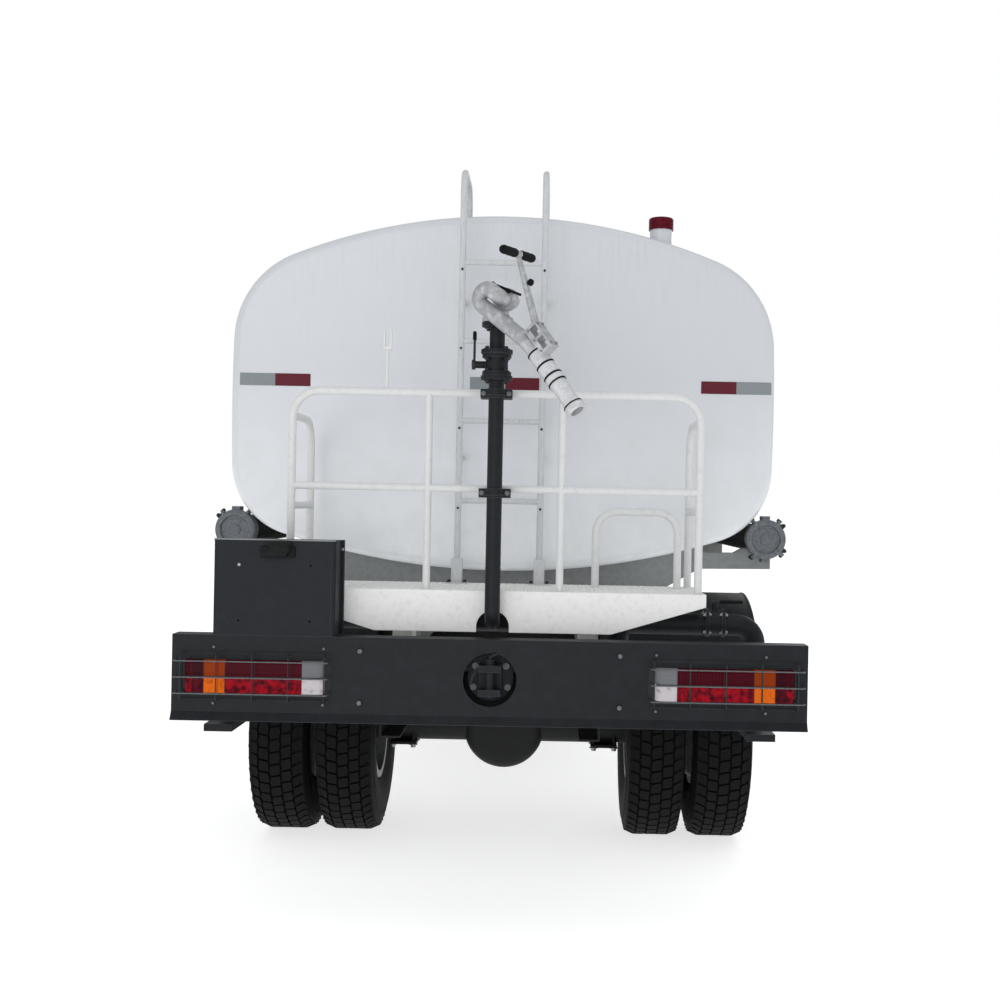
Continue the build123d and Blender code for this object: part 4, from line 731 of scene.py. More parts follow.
class TANKER_OT_bumper_fittings(bpy.types.Operator):
    """Bolts on the rear bumper, lamp guards, tow jaw and equipment box"""

    bl_idname = "tanker.bumper_fittings"
    bl_label = "Bumper fittings"

    def execute(self, context):
        whole = bmesh.new()
        back = (0, -1, 0)
        for side in SIDES:
            for z in (905, 1104):
                bolt(whole, (side * 500, BUMPER_Y, z), back, 17, 1, False)
            for x in (640, 1062):
                for z in (894, 1110):
                    bolt(whole, (side * x, BUMPER_Y, z), back, 10, 1, False)
        for turn in (-28, 38, 142, 208):
            at = Vector((76 * math.cos(math.radians(turn)), BUMPER_Y + 60, 1002 + 76 * math.sin(math.radians(turn))))
            bolt(whole, at, back, 13, 1)
        stud(whole, facing((-972, BUMPER_Y + 1, 1428), back), 6.5, 3, 20, 1)
        stud(whole, facing((-594, BUMPER_Y + 120, 1490), back), 6, 4, 16, 1)
        piece("bumper_bolts", whole, "chassis", ["zinc_plate", "guard_wire"])
        whole = bmesh.new()
        # Lamp guard feet: a flat strap above and below each lamp
        for side in SIDES:
            for z in (1087, 909):
                slab(whole, (side * 905 - 284, BUMPER_Y - 5, z - 5), (side * 905 + 284, BUMPER_Y - 0.5, z + 5), 1.5)
        # Plate lamp's foot and hood over the box's bar lamp
        slab(whole, (-890, BUMPER_Y - 10, 1458), (-756, BUMPER_Y, 1500), 6, 1)
        slab(whole, (-889, BUMPER_Y - 54, 1459), (-781, BUMPER_Y - 2, 1498), 17, 1, 5)
        slab(whole, (-856, BUMPER_Y - 57, 1470), (-768, BUMPER_Y - 2, 1524), 25, 1, 6)
        # Pale grey strip along the top of the box's face: a painted highlight for its lit top edge
        slab(whole, (-1070, BUMPER_Y - 1.5, 1523), (-602, BUMPER_Y + 6, 1528), 1, 2)
        # Turned-out fold down the box's right edge, and the jaw's release lever
        slab(whole, (-619, BUMPER_Y - 1.5, 1160), (-616, BUMPER_Y + 1, 1520), 0.5)
        for points in (((-44, -6, 1048), (-66, -14, 1030), (-72, -12, 985)),
                       ((0, -5, 1080), (0, -5, 1096), (26, -5, 1102))):
            wire(whole, [(x, BUMPER_Y + y, z) for x, y, z in points], 6, smooth=True)
        piece("bumper_straps", whole, "chassis", ["dark_paint", "seal_rubber", "saddle_grey"])
        return {"FINISHED"}


class TANKER_OT_lamp_guards(bpy.types.Operator):
    """Bent wire guards in front of the tail lamps"""

    bl_idname = "tanker.lamp_guards"
    bl_label = "Lamp guards"

    def execute(self, context):
        whole = bmesh.new()
        for side in SIDES:
            for step in range(5):
                x = side * (630 + step * 137.25)
                bow = ((1, 1087), (-26, 1087), (-50, 1086), (-50, 1062), (-50, LAMP_Z), (-50, 934), (-50, 910),
                       (-26, 909), (1, 909))
                wire(whole, [(x, BUMPER_Y + y, z) for y, z in bow], 2.2, smooth=True, finish=1)
            for z in (936, 998, 1060):
                bow = ((618, 1), (618, -30), (618, -50), (645, -50), (900, -50), (1180, -50), (1205, -50),
                       (1206, -30), (1206, 1))
                wire(whole, [(side * x, BUMPER_Y + y, z) for x, y in bow], 2.7, smooth=True)
        piece("lamp_guard_wires", whole, "chassis", ["guard_wire", "dark_paint"], ["lamp_guards"])
        return {"FINISHED"}


class TANKER_OT_sheeting(bpy.types.Operator):
    """Reflective sheeting on the tank's rear head and sides"""

    bl_idname = "tanker.sheeting"
    bl_label = "Sheeting"

    def execute(self, context):
        half = context.scene.tanker_sizes.tape_height / 2
        whole = bmesh.new()
        # Left edge of each strip, and whether it is silver
        rows = [(-1164, 1), (-1008, 0), (-147, 1), (10, 0), (876, 0), (1032, 1)]
        for x, silver in rows:
            bent(whole, (x, HEAD_Y - 1.3, 2212 - half), (x + 156, HEAD_Y + 0.5, 2212 + half), rim, 0, silver)
        for side in SIDES:
            for y in range(-2700, 1400, 750):
                for shift, silver in ((0, 0), (150, 1)):
                    along = (y + shift, y + shift + 150)
                    flank(whole, side, (1203.5, 1206), along, (2134 - half, 2134 + half), 0.5, silver)
        piece("tank_sheeting", whole, "chassis", ["red_sheeting", "silver_sheeting"])
        return {"FINISHED"}


class TANKER_OT_tread_plate(bpy.types.Operator):
    """Raised marks of the platform's tread plate"""

    bl_idname = "tanker.tread_plate"
    bl_label = "Tread plate"

    def execute(self, context):
        pitch = context.scene.tanker_sizes.plate_pitch
        low, high = (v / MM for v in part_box("platform"))
        whole = bmesh.new()
        top = high.z
        for shift, turn in (((0, 0), 45), ((pitch / 2, pitch / 2), -45)):
            spin = Matrix.Translation((low.x + 12 + shift[0], low.y + 12 + shift[1], top)) @ Matrix.Rotation(
                math.radians(turn), 4, "Z")
            # Four points of the mark's foot, then the two ends of its ridge
            mark = ((-13, 0, -0.5), (0, -4, -0.5), (13, 0, -0.5), (0, 4, -0.5), (-7, 0, 2.2), (7, 0, 2.2))
            spots = [whole.verts.new(p) for p in moved(spin, mark)]
            for corners in ((0, 1, 4), (1, 2, 5), (2, 3, 5), (3, 0, 4), (1, 5, 4), (3, 4, 5)):
                whole.faces.new([spots[c] for c in corners])
        for reach, step in ((high.x - low.x, (pitch, 0, 0)), (high.y - low.y, (0, pitch, 0))):
            bmesh.ops.spin(whole, geom=every(whole), cent=(0, 0, 0), axis=(0, 0, 1),
                           dvec=step, angle=0, steps=int((reach - 40) / pitch), use_duplicate=True)
        bmesh.ops.recalc_face_normals(whole, faces=whole.faces)
        piece("tread_plate", whole, "chassis", ["lit_deck_white"], angle=20)
        return {"FINISHED"}


class TANKER_OT_hoses(bpy.types.Operator):
    """Ribbed suction hoses, and rims and clamps on their caps"""

    bl_idname = "tanker.hoses"
    bl_label = "Suction hoses"

    def execute(self, context):
        pitch = context.scene.tanker_sizes.rib_pitch
        low, high = (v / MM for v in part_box("suction_hoses"))
        count = int((high.y - low.y) / pitch)
        whole = bmesh.new()
        ribs = []
        for step in range(count):
            ribs += [(60, pitch * (step + 0.1)), (64.5, pitch * (step + 0.3)), (64.5, pitch * (step + 0.65)),
                     (60, pitch * (step + 0.85))]
        for side in SIDES:
            start = facing((side * HOSE_X, low.y, HOSE_Z), (0, 1, 0))
            lathe(whole, [(0, 0)] + ribs + [(0, high.y - low.y)], start, 24)
        piece("ribbed_hoses", whole, "chassis", ["hose_rubber"], ["suction_hoses"])
        whole = bmesh.new()
        dish = [(62, -4), (63, 8), (67, 12), (82, 12), (87, 9), (88.5, 2), (88.5, -6), (62, -6), (62, -4)]
        for side in SIDES:
            for y, way in ((-2972, -1), (1668, 1)):
                place = facing((side * HOSE_X, y, HOSE_Z), (0, way, 0))
                hand = Matrix.Diagonal((-side * way, 1, 1, 1))
                lathe(whole, dish, place, 48)
                stud(whole, place, 24, 4, 24, 2)
                for step in range(-3, 4):
                    slab(whole, place @ Vector((step * 9 - 3, 40, -1)), place @ Vector((step * 9 + 3, 49, 2)), 0.5)
                for turn in (52, 125, 234, 317):
                    arm = place @ hand @ Matrix.Rotation(math.radians(turn), 4, "Z")
                    hook = ((78, 0, -52), (96, 0, -40), (99, 0, -12), (92, 0, 10), (78, 0, 14))
                    wire(whole, moved(arm, hook), 7, smooth=True)
                    pivot = facing(arm @ Vector((96, 0, -34)), arm.to_3x3() @ Vector((1, 0, 0)))
                    stud(whole, pivot, 12, 14, 12, 2, finish=1)
                for turn in (36, 330):
                    arm = place @ hand @ Matrix.Rotation(math.radians(turn), 4, "Z")
                    lever = ((86, 0, -16), (103, 0, -20), (106, 0, -48), (98, 0, -92))
                    wire(whole, moved(arm, lever), 9, smooth=True, finish=1)
        piece("cap_clamps", whole, "chassis", ["dull_casting", "iron"])
        return {"FINISHED"}


class TANKER_OT_pipe_fittings(bpy.types.Operator):
    """Flange bolts, clamps and grips on the standpipe and side valve"""

    bl_idname = "tanker.pipe_fittings"
    bl_label = "Pipe fittings"

    def execute(self, context):
        whole = bmesh.new()
        up, down, back = (0, 0, 1), (0, 0, -1), (0, -1, 0)
        for step in range(4):
            turn = math.radians(45 + 90 * step)
            x, y = 52 * math.cos(turn), PIPE_Y + 52 * math.sin(turn)
            for z, way in ((2283, up), (2251, down), (2165, down), (2197, up), (2372, down)):
                bolt(whole, (x, y, z), way, 15)
        for z in (2112, 1722):
            for x in (-50, 50):
                bolt(whole, (x, PIPE_Y, z), back, 10, 1)
            wire(whole, [(-39, PIPE_Y, z - 8), (-36, -3688, z - 8), (0, -3700, z - 8), (36, -3688, z - 8),
                         (39, PIPE_Y, z - 8)], 4, smooth=True)
        slab(whole, (-95, -3675, 2318), (-81, -3645, 2354), 5, 2)
        stud(whole, facing((-84, PIPE_Y, 2224), (-1, 0, 0)), 20, 14, 6, 2)
        piece("standpipe_bolts", whole, "chassis", ["black_oxide", "guard_wire", "grip_foam"])
        whole = bmesh.new()
        for step in range(4):
            turn = math.radians(45 + 90 * step)
            y, z = -3452 + 47 * math.cos(turn), 1213 + 47 * math.sin(turn)
            for x, way in ((858, (-1, 0, 0)), (872, (1, 0, 0)), (924, (-1, 0, 0)), (938, (1, 0, 0))):
                bolt(whole, (x, y, z), way, 13)
        slab(whole, (915, -3466, 1291), (1012, -3438, 1305), 6, 1)
        piece("valve_bolts", whole, "chassis", ["zinc_plate", "grip_foam"])
        return {"FINISHED"}


class TANKER_OT_monitor_fittings(bpy.types.Operator):
    """Grips, knob, rings and screws on the water monitor"""

    bl_idname = "tanker.monitor_fittings"
    bl_label = "Monitor fittings"

    def execute(self, context):
        aim = math.radians(59)
        turn = Matrix(((math.sin(aim), math.cos(aim), 0, 0), (-math.cos(aim), math.sin(aim), 0, 0), (0, 0, 1, 0),
                       (0, 0, 0, 1)))
        head = Matrix.Translation((0, PIPE_Y, 2390)) @ turn
        tube = head @ Matrix.Translation((80, 0, 77)) @ Matrix.Rotation(math.radians(36), 4, "Y")
        jet = tube @ Matrix.Translation((227, -105, -68)) @ Matrix.Rotation(math.radians(15), 4, "Y")
        whole = bmesh.new()
        grip = [(0, 0), (13, 0), (16, 3), (17.5, 14), (16.5, 30), (17.5, 48), (16.5, 66), (17.5, 82), (15, 92),
                (9, 95), (0, 95)]
        for way in SIDES:
            lathe(whole, grip, jet @ facing((-315, way * 14, 167), (0, way, 0)), 28)
        # Rubber rings between the bands of the barrel, and the throat inside its tip
        for x, radius in ((40, 38), (103, 38), (155, 38), (186, 37.4), (296, 38.5)):
            ring = [(30, -2.6), (radius, -2.6), (radius, 2.6), (30, 2.6), (30, -2.6)]
            lathe(whole, ring, jet @ facing((x, 0, 0), (1, 0, 0)), 40)
        # Knob of the spray lever on its stem beside the handle
        wire(whole, moved(jet, ((-178, 0, 112), (-188, 0, 132))), 5, finish=1)
        knob = [(0, 0), (9, 1), (13, 8), (12, 19), (7, 25), (0, 26)]
        lathe(whole, knob, jet @ facing((-187, 0, 130), (-0.25, 0, 1)), 20)
        # Lock rod across the swivel, with its stud
        near = Matrix.Translation((-38, 0, -22)) @ tube
        wire(whole, moved(near, ((-82, -64, 46), (-40, -64, 62), (72, -64, 90))), 5)
        for x, z in ((-66, 28), (8, 40)):
            stud(whole, facing(near @ Vector((x, -64, z)), near.to_3x3() @ Vector((0.2, 0, 1))), 9, 36, 14, 2)
        piece("monitor_grips", whole, "monitor_tube", ["grip_foam", "cast_aluminium"])
        whole = bmesh.new()
        for step in range(6):
            spot = head @ Matrix.Rotation(math.tau * step / 6, 4, "Z") @ Vector((49, 0, 18))
            bolt(whole, spot, (0, 0, 1), 11)
        piece("swivel_bolts", whole, "monitor_swivel", ["zinc_plate"])
        whole = bmesh.new()
        up = jet.to_3x3() @ Vector((0, 0, 1))
        for x in (-38, 58):
            for y in (-17, 17):
                bolt(whole, jet @ Vector((x, y, 78)), up, 10, 0, False)
        for y, way in ((-28, -1), (28, 1)):
            for x in (-38, 9, 60):
                bolt(whole, jet @ Vector((x, y, 31)), jet.to_3x3() @ Vector((0, way, 0)), 9, 0, False)
        piece("bracket_bolts", whole, "monitor_tube", ["zinc_plate"])
        return {"FINISHED"}


class TANKER_OT_ladder_fittings(bpy.types.Operator):
    """Screws below the rungs and bolts on the foot plates"""

    bl_idname = "tanker.ladder_fittings"
    bl_label = "Ladder fittings"

    def execute(self, context):
        whole = bmesh.new()
        for side in SIDES:
            for z in (1692, 2034, 2376, 2714):
                stud(whole, facing((side * LADDER_X, -3190, z - 32), (0, -1, 0)), 5.5, 4, 12, 1)
            for x in (-34, 34):
                for y in (-29, 29):
                    bolt(whole, (side * LADDER_X + x, LADDER_Y + y, 1343), (0, 0, 1), 12)
        piece("ladder_screws", whole, "chassis", ["black_oxide"])
        return {"FINISHED"}


class TANKER_OT_tank_fittings(bpy.types.Operator):
    """Weld seams round the tank and clamp screws on its lid"""

    bl_idname = "tanker.tank_fittings"
    bl_label = "Tank fittings"

    def execute(self, context):
        whole = bmesh.new()
        for y in (-2925, -2200, -1425, -800, 50, 850, 1600):
            strap(whole, "tank", y, 13, 2.4)
        piece("tank_seams", whole, "chassis", ["tank_white"])
        whole = bmesh.new()
        for turn in (-125, -75, -25, 25, 75, 125):
            spin = Matrix.Translation((0, -452, 3068)) @ Matrix.Rotation(math.radians(turn), 4, "Z")
            place = spin @ Matrix.Translation((0, -258, 0))
            stud(whole, place, 22, 5, 20, 1)
            lathe(whole, [(0, 4), (13, 4), (13, 18), (9, 24), (9, 34), (6, 37), (0, 37)], place, 16)
            for way in SIDES:
                wing = ((way * 6, 0, 12), (way * 22, 0, 18), (way * 34, 0, 32))
                wire(whole, moved(place, wing), 5.5, smooth=True)
        piece("lid_screws", whole, "hatch", ["zinc_plate"])
        return {"FINISHED"}


class TANKER_OT_running_gear(bpy.types.Operator):
    """U-bolts, brake chambers, frame bolts, pump fins, straps and reflectors below the tank"""

    bl_idname = "tanker.running_gear"
    bl_label = "Running gear"

    def execute(self, context):
        whole = bmesh.new()
        rows = [(REAR_AXLE, 515, 52, 712, 424, 62, 456), (FRONT_AXLE, 430, 50, 586, 378, 56, 392)]
        for axle, x, reach, top, foot, along, seat in rows:
            for side in SIDES:
                at = Vector((side * x, axle.y, 0))
                for y in (-along, along):
                    loop = [(-reach, foot), (-reach, top - 40), (-reach, top), (0, top + 2), (reach, top),
                            (reach, top - 40), (reach, foot)]
                    wire(whole, [at + Vector((dx, y, z)) for dx, z in loop], 9, smooth=True)
                    for dx in (-reach, reach):
                        bolt(whole, at + Vector((dx, y, seat - 16)), (0, 0, -1), 24, 1)
                low = at + Vector((-reach - 16, -along - 24, seat - 16))
                slab(whole, low, at + Vector((reach + 16, along + 24, seat)), 3)
        # Brake chambers behind the rear axle, each with its clamp band
        can = [(0, 0), (60, 0), (72, 10), (76, 60), (84, 62), (84, 80), (76, 82), (74, 140), (58, 160), (24, 165),
               (0, 165)]
        for side in SIDES:
            lathe(whole, can, facing((side * 330, -2107, 640), (0, -1, 0)), 36)
            stud(whole, facing((side * 330, -2040, 640), (0, -1, 0)), 14, 70, 16)
            for y in range(-3450, 3500, 345):
                for z in (810, 990):
                    bolt(whole, (side * 430, y, z), (side, 0, 0), 20)
        piece("axle_bolts", whole, "chassis", ["frame_paint", "zinc_plate"])
        whole = bmesh.new()
        fin = [(116, 0), (130, 2), (130, 9), (116, 11), (116, 0)]
        for y in range(-430, -140, 26):
            lathe(whole, fin, facing((720, y, 710), (0, 1, 0)), 36)
        for step in range(8):
            turn = math.tau * (step + 0.5) / 8
            bolt(whole, (720 + 168 * math.cos(turn), -632, 710 + 168 * math.sin(turn)), (0, -1, 0), 20, 1)
            bolt(whole, (1080, -542 + 70 * math.cos(turn), 710 + 70 * math.sin(turn)), (-1, 0, 0), 16, 1)
        piece("pump_fins", whole, "chassis", ["iron", "zinc_plate"])
        whole = bmesh.new()
        rows = [("fuel_tank", 760, 52), ("fuel_tank", 1536, 52), ("silencer", -330, 36), ("silencer", 220, 36)]
        for node, y, wide in rows:
            strap(whole, node, y, wide, 3)
        cap = [(0, 0), (58, 0), (60, 3), (60, 20), (56, 25), (40, 27), (0, 27)]
        place = facing((-950, 1298, 1030), (0, 0, 1))
        lathe(whole, cap, place, 36)
        for step in range(3):
            lug = place @ Matrix.Rotation(math.tau * step / 3, 4, "Z") @ Matrix.Translation((60, 0, 4))
            stud(whole, lug, 9, 16, 12, 3)
        piece("tank_straps", whole, "chassis", ["sheet_aluminium"])
        whole = bmesh.new()
        for side in SIDES:
            for y in (-1080, -412, 256):
                flank(whole, side, (1188, 1197), (y - 45, y + 45), (842, 878), 4)
            for y in (-1232, 408):
                for z in (540, 580, 840, 880):
                    stud(whole, facing((side * 1189, y, z), (side, 0, 0)), 9, 6, 16, 2, finish=1)
        # Latches and lid lip of the battery box
        slab(whole, (1000, 1200, 920), (1006, 1746, 932), 2, 2)
        for y in (1320, 1626):
            slab(whole, (999, y - 22, 872), (1012, y + 22, 944), 4, 1)
            loop = [(1010, y - 14, 880), (1016, y - 14, 860), (1016, y + 14, 860), (1010, y + 14, 880)]
            wire(whole, loop, 4, finish=1)
        piece("side_reflectors", whole, "chassis", ["amber_lens", "zinc_plate", "box_paint"])
        whole = bmesh.new()
        for side in SIDES:
            bead(whole, REAR_AXLE, 706, side * 1221, 820, 9)
            bead(whole, FRONT_AXLE, 642, side * 1181, 760, 8)
            for y in range(3345, 3700, 36):
                for z in (500, 780):
                    for x in (1120, 1150, 1180, 1208):
                        stud(whole, facing((side * x, y, z - 1), (0, 0, 1)), 9, 4, 10, 0, 6)
        piece("mudguard_edges", whole, "chassis", ["dark_plastic"])
        return {"FINISHED"}


class TANKER_OT_cab_outside(bpy.types.Operator):
    """Seals, wipers, lamps, bars, mirrors and plate outside the cab"""

    bl_idname = "tanker.cab_outside"
    bl_label = "Cab outside"

    def execute(self, context):
        whole = bmesh.new()
        ends = [(-1035, 1925), (1035, 1925), (985, 2580), (-985, 2580)]
        wire(whole, eased([on_screen(x, z, 0) for x, z in ends], 70), 15, True, True)
        ends = [(-450, 1990), (450, 1990), (450, 2440), (-450, 2440)]
        wire(whole, eased([(x, 2072, z) for x, z in ends], 60), 12, True, True)
        # Wiper arms at rest along the foot of the screen
        for x in (-700, 40):
            stud(whole, facing(on_screen(x, 1902, -4), (0, 0.956, 0.2935)), 22, 26, 20, 4)
            # Arm, blade and rubber, by points on the screen and their distance from it
            for points, radius in ((((0, 1902, 14), (60, 1915, 34), (260, 1960, 36), (400, 1985, 24)), 7),
                                   (((90, 1957, 18), (400, 1982, 22), (700, 2001, 18)), 6),
                                   (((90, 1952, 8), (400, 1977, 8), (700, 1996, 8)), 3.5)):
                wire(whole, [on_screen(x + dx, z, off) for dx, z, off in points], radius, smooth=True)
        # Shut line of the front service panel
        line = [touch("cab_front", (x, 4400, 1800), (0, -1, 0)) for x in range(-1050, 1060, 75)]
        wire(whole, line, 3)
        piece("screen_seals", whole, "cab", ["seal_rubber"])
        whole = bmesh.new()
        for side in SIDES:
            for z in ((2130, 2430), (2030, 2112)):
                flank(whole, side, (1250, 1420), (3673, 3679), z, 2.5)
            spots = [touch("cab_sides", (side * 1500, 2480, z), (-side, 0, 0)) for z in (1500, 1560, 2180, 2240)]
            out = Vector((side * 44, 0, 0))
            bar = [spots[0], spots[0] + out * 0.7] + [s + out for s in spots] + [spots[3] + out * 0.7, spots[3]]
            wire(whole, bar, 12, smooth=True, finish=1)
            for spot in (spots[0], spots[3]):
                stud(whole, facing(spot, (side, 0, 0)), 24, 6, 24, 2, finish=1)
            spot = touch("cab_sides", (side * 1500, 3625, 1720), (-side, 0, 0))
            slab(whole, spot - Vector((6, 24, 46)), spot + Vector((6, 24, 46)), 4, 1)
            slab(whole, spot - Vector((14, 18, 40)), spot + Vector((14, 18, 40)), 9, 2, 3)
        for x in (-760, -380, 0, 380, 760):
            spot = touch("cab_roof", (x, 3400, 3300), (0, 0, -1))
            slab(whole, spot - Vector((56, 30, 12)), spot + Vector((56, 30, 9)), 5, 1)
            slab(whole, spot - Vector((48, 23, 4)), spot + Vector((48, 23, 34)), 14, 2, 4)
        spot = touch("cab_roof", (0, 2720, 3300), (0, 0, -1))
        slab(whole, spot - Vector((330, 280, 14)), spot + Vector((330, 280, 8)), 5, 1)
        slab(whole, spot - Vector((318, 268, 4)), spot + Vector((318, 268, 30)), 20, 3, 4)
        slab(whole, (-612, 3892, 1492), (612, 3908, 1518), 6, 4)
        piece("cab_trim", whole, "cab",
              ["bright_reflector", "dark_plastic", "amber_lens", "cab_white", "sheet_aluminium"])
        whole = bmesh.new()
        for side in SIDES:
            low, high = sorted((side * 703, side * 1117))
            bent(whole, (low, 3916, 623), (high, 3926, 797), nose, 2)
            for z in (623, 791):
                bent(whole, (low, 3920, z), (high, 3984, z + 6), nose, 1)
            for x in (706, 1114):
                slab(whole, (side * x - 3, 3920 + nose(x), 623), (side * x + 3, 3984 + nose(x), 797), 1)
            for x in (790, 944):
                place = facing((side * x, 3974 + nose(x), 710), (0, 1, 0))
                bowl = [(0, -50), (30, -47), (54, -31), (70, 0), (75, 0), (75, -5), (58, -36), (31, -54), (0, -57),
                        (0, -50)]
                lathe(whole, bowl, place, 40, 1)
                lathe(whole, [(0, -52), (15, -50), (17, -24), (10, -18), (0, -17)], place, 20, 1)
            low, high = sorted((side * 1030, side * 1108))
            bent(whole, (low, 3930, 634), (high, 3972, 786), nose, 8, 2)
            low, high = sorted((side * 705, side * 1115))
            bent(whole, (low, 3984, 625), (high, 3988, 795), nose, 1.5, 3)
        piece("headlamp_units", whole, "chassis", ["dark_plastic", "bright_reflector", "amber_lens", "lamp_clear"],
              ["headlamps"])
        whole = bmesh.new()
        bent(whole, (-270, 3990, 727), (270, 3997, 858), nose, 2.5, 1)
        bent(whole, (-258, 3994, 739), (258, 3999.5, 846), nose, 1.5, 0)
        # Dark louvres behind the bumper's air slot
        bent(whole, (-484, 3925, 556), (484, 3934, 704), nose, 0, 1, 40)
        for z in range(572, 700, 26):
            bent(whole, (-484, 3932, z), (484, 3966, z + 7), nose, 2, 1, 40)
        for x in (-320, -160, 0, 160, 320):
            slab(whole, (x - 4, 3930 + nose(x), 558), (x + 4, 3958 + nose(x), 702), 1.5, 1)
        piece("front_plate", whole, "chassis", ["dial_white", "dark_plastic"])
        return {"FINISHED"}


class TANKER_OT_doors(bpy.types.Operator):
    """Window seals, handles, inner trims and arm rests of the doors"""

    bl_idname = "tanker.doors"
    bl_label = "Door fittings"

    def execute(self, context):
        ends = [(2633, 1960), (3498, 1960), (3498, 2160), (3388, 2548), (2633, 2548)]
        for side, hand in HANDS:
            whole = bmesh.new()
            skin = [(side * (1180 - 65 * (z - 1900) / 960), y, z) for y, z in ends]
            wire(whole, eased(skin, 45), 10, True, True, 1)
            # Handle plate, its bar and feet, and the lock
            flank(whole, side, (1174, 1184), (2606, 2806), (1790, 1862), 4)
            flank(whole, side, (1186, 1206), (2618, 2794), (1816, 1846), 9, 0, 4)
            for y in (2632, 2780):
                flank(whole, side, (1178, 1196), (y - 10, y + 10), (1820, 1842), 4)
            stud(whole, facing((side * 1180, 2830, 1826), (side, 0, 0)), 13, 5, 24, 2)
            # Inner trim, arm rest and pocket
            flank(whole, side, (1106, 1122), (2590, 3530), (1335, 1915), 7, 0, 3)
            flank(whole, side, (1046, 1110), (2680, 3120), (1640, 1705), 22, 0, 4)
            flank(whole, side, (1070, 1110), (2650, 3330), (1370, 1500), 14, 0, 3)
            wire(whole, [(side * 1106, 3210, 1790), (side * 1082, 3215, 1790), (side * 1076, 3270, 1790),
                         (side * 1082, 3330, 1790), (side * 1106, 3335, 1790)], 9, smooth=True)
            piece(f"door_trim_{hand}", whole, f"{hand}_door", ["dark_plastic", "seal_rubber"])
        return {"FINISHED"}


class TANKER_OT_cab_inside(bpy.types.Operator):
    """Dials, vents, lever, pedals and mat inside the cab"""

    bl_idname = "tanker.cab_inside"
    bl_label = "Cab inside"

    def execute(self, context):
        whole = bmesh.new()
        back = (0, -1, 0)
        slab(whole, (-750, 3446, 1870), (-370, 3680, 1992), 36, 0, 4)
        for x in (-640, -480):
            place = facing((x, 3447, 1932), back)
            stud(whole, place, 46, 3, 40, 0.5, finish=1)
            lathe(whole, [(45, 0), (46, 6), (50, 6), (52, 0), (45, 0)], place, 40, 2)
            for step in range(11):
                spin = place @ Matrix.Rotation(math.radians(220 - step * 26), 4, "Z")
                wire(whole, [spin @ Vector((36, 0, 3.2)), spin @ Vector((43, 0, 3.2))], 1.2, finish=2)
            spin = place @ Matrix.Rotation(math.radians(196), 4, "Z")
            wire(whole, [spin @ Vector((-8, 0, 5)), spin @ Vector((36, 0, 5))], 1.6, finish=3)
        for x in (-975, -250, 250, 620, 975):
            slab(whole, (x - 72, 3402, 1762), (x + 72, 3440, 1838), 6)
            for z in range(1774, 1834, 13):
                slab(whole, (x - 64, 3398, z), (x + 64, 3420, z + 4), 1)
        slab(whole, (-170, 3392, 1655), (170, 3424, 1742), 5)
        for x in (-130, 130):
            stud(whole, facing((x, 3393, 1698), back), 19, 22, 24, 3, finish=2)
        # Gear lever in its boot, and its knob
        for profile in ([(0, -2), (74, -2), (70, 14), (46, 46), (26, 74), (12, 92), (10, 340), (0, 340)],
                        [(0, 330), (14, 332), (25, 346), (28, 372), (22, 394), (0, 402)]):
            lathe(whole, profile, Matrix.Translation((-150, 3060, 1300)), 28)
        for x in (-690, -580, -470):
            slab(whole, (x - 36, 3322, 1385), (x + 36, 3338, 1468), 6)
            wire(whole, [(x, 3334, 1430), (x, 3400, 1500), (x, 3440, 1620)], 9)
        slab(whole, (-1066, 2470, 1296), (1066, 3380, 1306), 3, 4)
        piece("cab_controls", whole, "cab", ["dark_plastic", "dial_black", "dial_white", "lamp_red", "seal_rubber"])
        return {"FINISHED"}


def swollen(name, blocks, cap):
    """Closed pads blown up from boxes as filled cloth, each point moved no further than a cap."""
    scene = bpy.context.scene
    start = bmesh.new()
    for low, high, soft in blocks:
        slab(start, low, high, soft, 0, 4)
    bmesh.ops.scale(start, vec=(MM, MM, MM), verts=start.verts)
    mesh = bpy.data.meshes.new(name)
    start.to_mesh(mesh)
    start.free()
    pad = bpy.data.objects.new(name, mesh)
    scene.collection.objects.link(pad)

    def settle():
        """Mesh of the pad as its modifiers leave it."""
        return bpy.data.meshes.new_from_object(pad.evaluated_get(bpy.context.evaluated_depsgraph_get()))

    voxels = pad.modifiers.new("voxels", "REMESH")
    voxels.mode, voxels.voxel_size = "VOXEL", 0.0125
    pad.data = settle()
    pad.modifiers.clear()
    cloth = pad.modifiers.new("filling", "CLOTH")
    cloth.settings.quality = 4
    cloth.settings.use_pressure = True
    cloth.settings.uniform_pressure_force = 4
    cloth.settings.effector_weights.gravity = 0
    cloth.point_cache.frame_start, cloth.point_cache.frame_end = 1, 20
    for step in range(1, 21):
        scene.frame_set(step)
    blown = settle()
    pad.modifiers.clear()
    for vert, there in zip(pad.data.vertices, blown.vertices):
        way = there.co - vert.co
        vert.co += way * min(1, cap * MM / max(way.length, 1e-6))
    bpy.data.meshes.remove(blown)
    scene.frame_set(1)
    smooth = pad.modifiers.new("smooth", "SUBSURF")
    smooth.levels = smooth.render_levels = 1
    pad.data = settle()
    pad.modifiers.clear()
    return pad


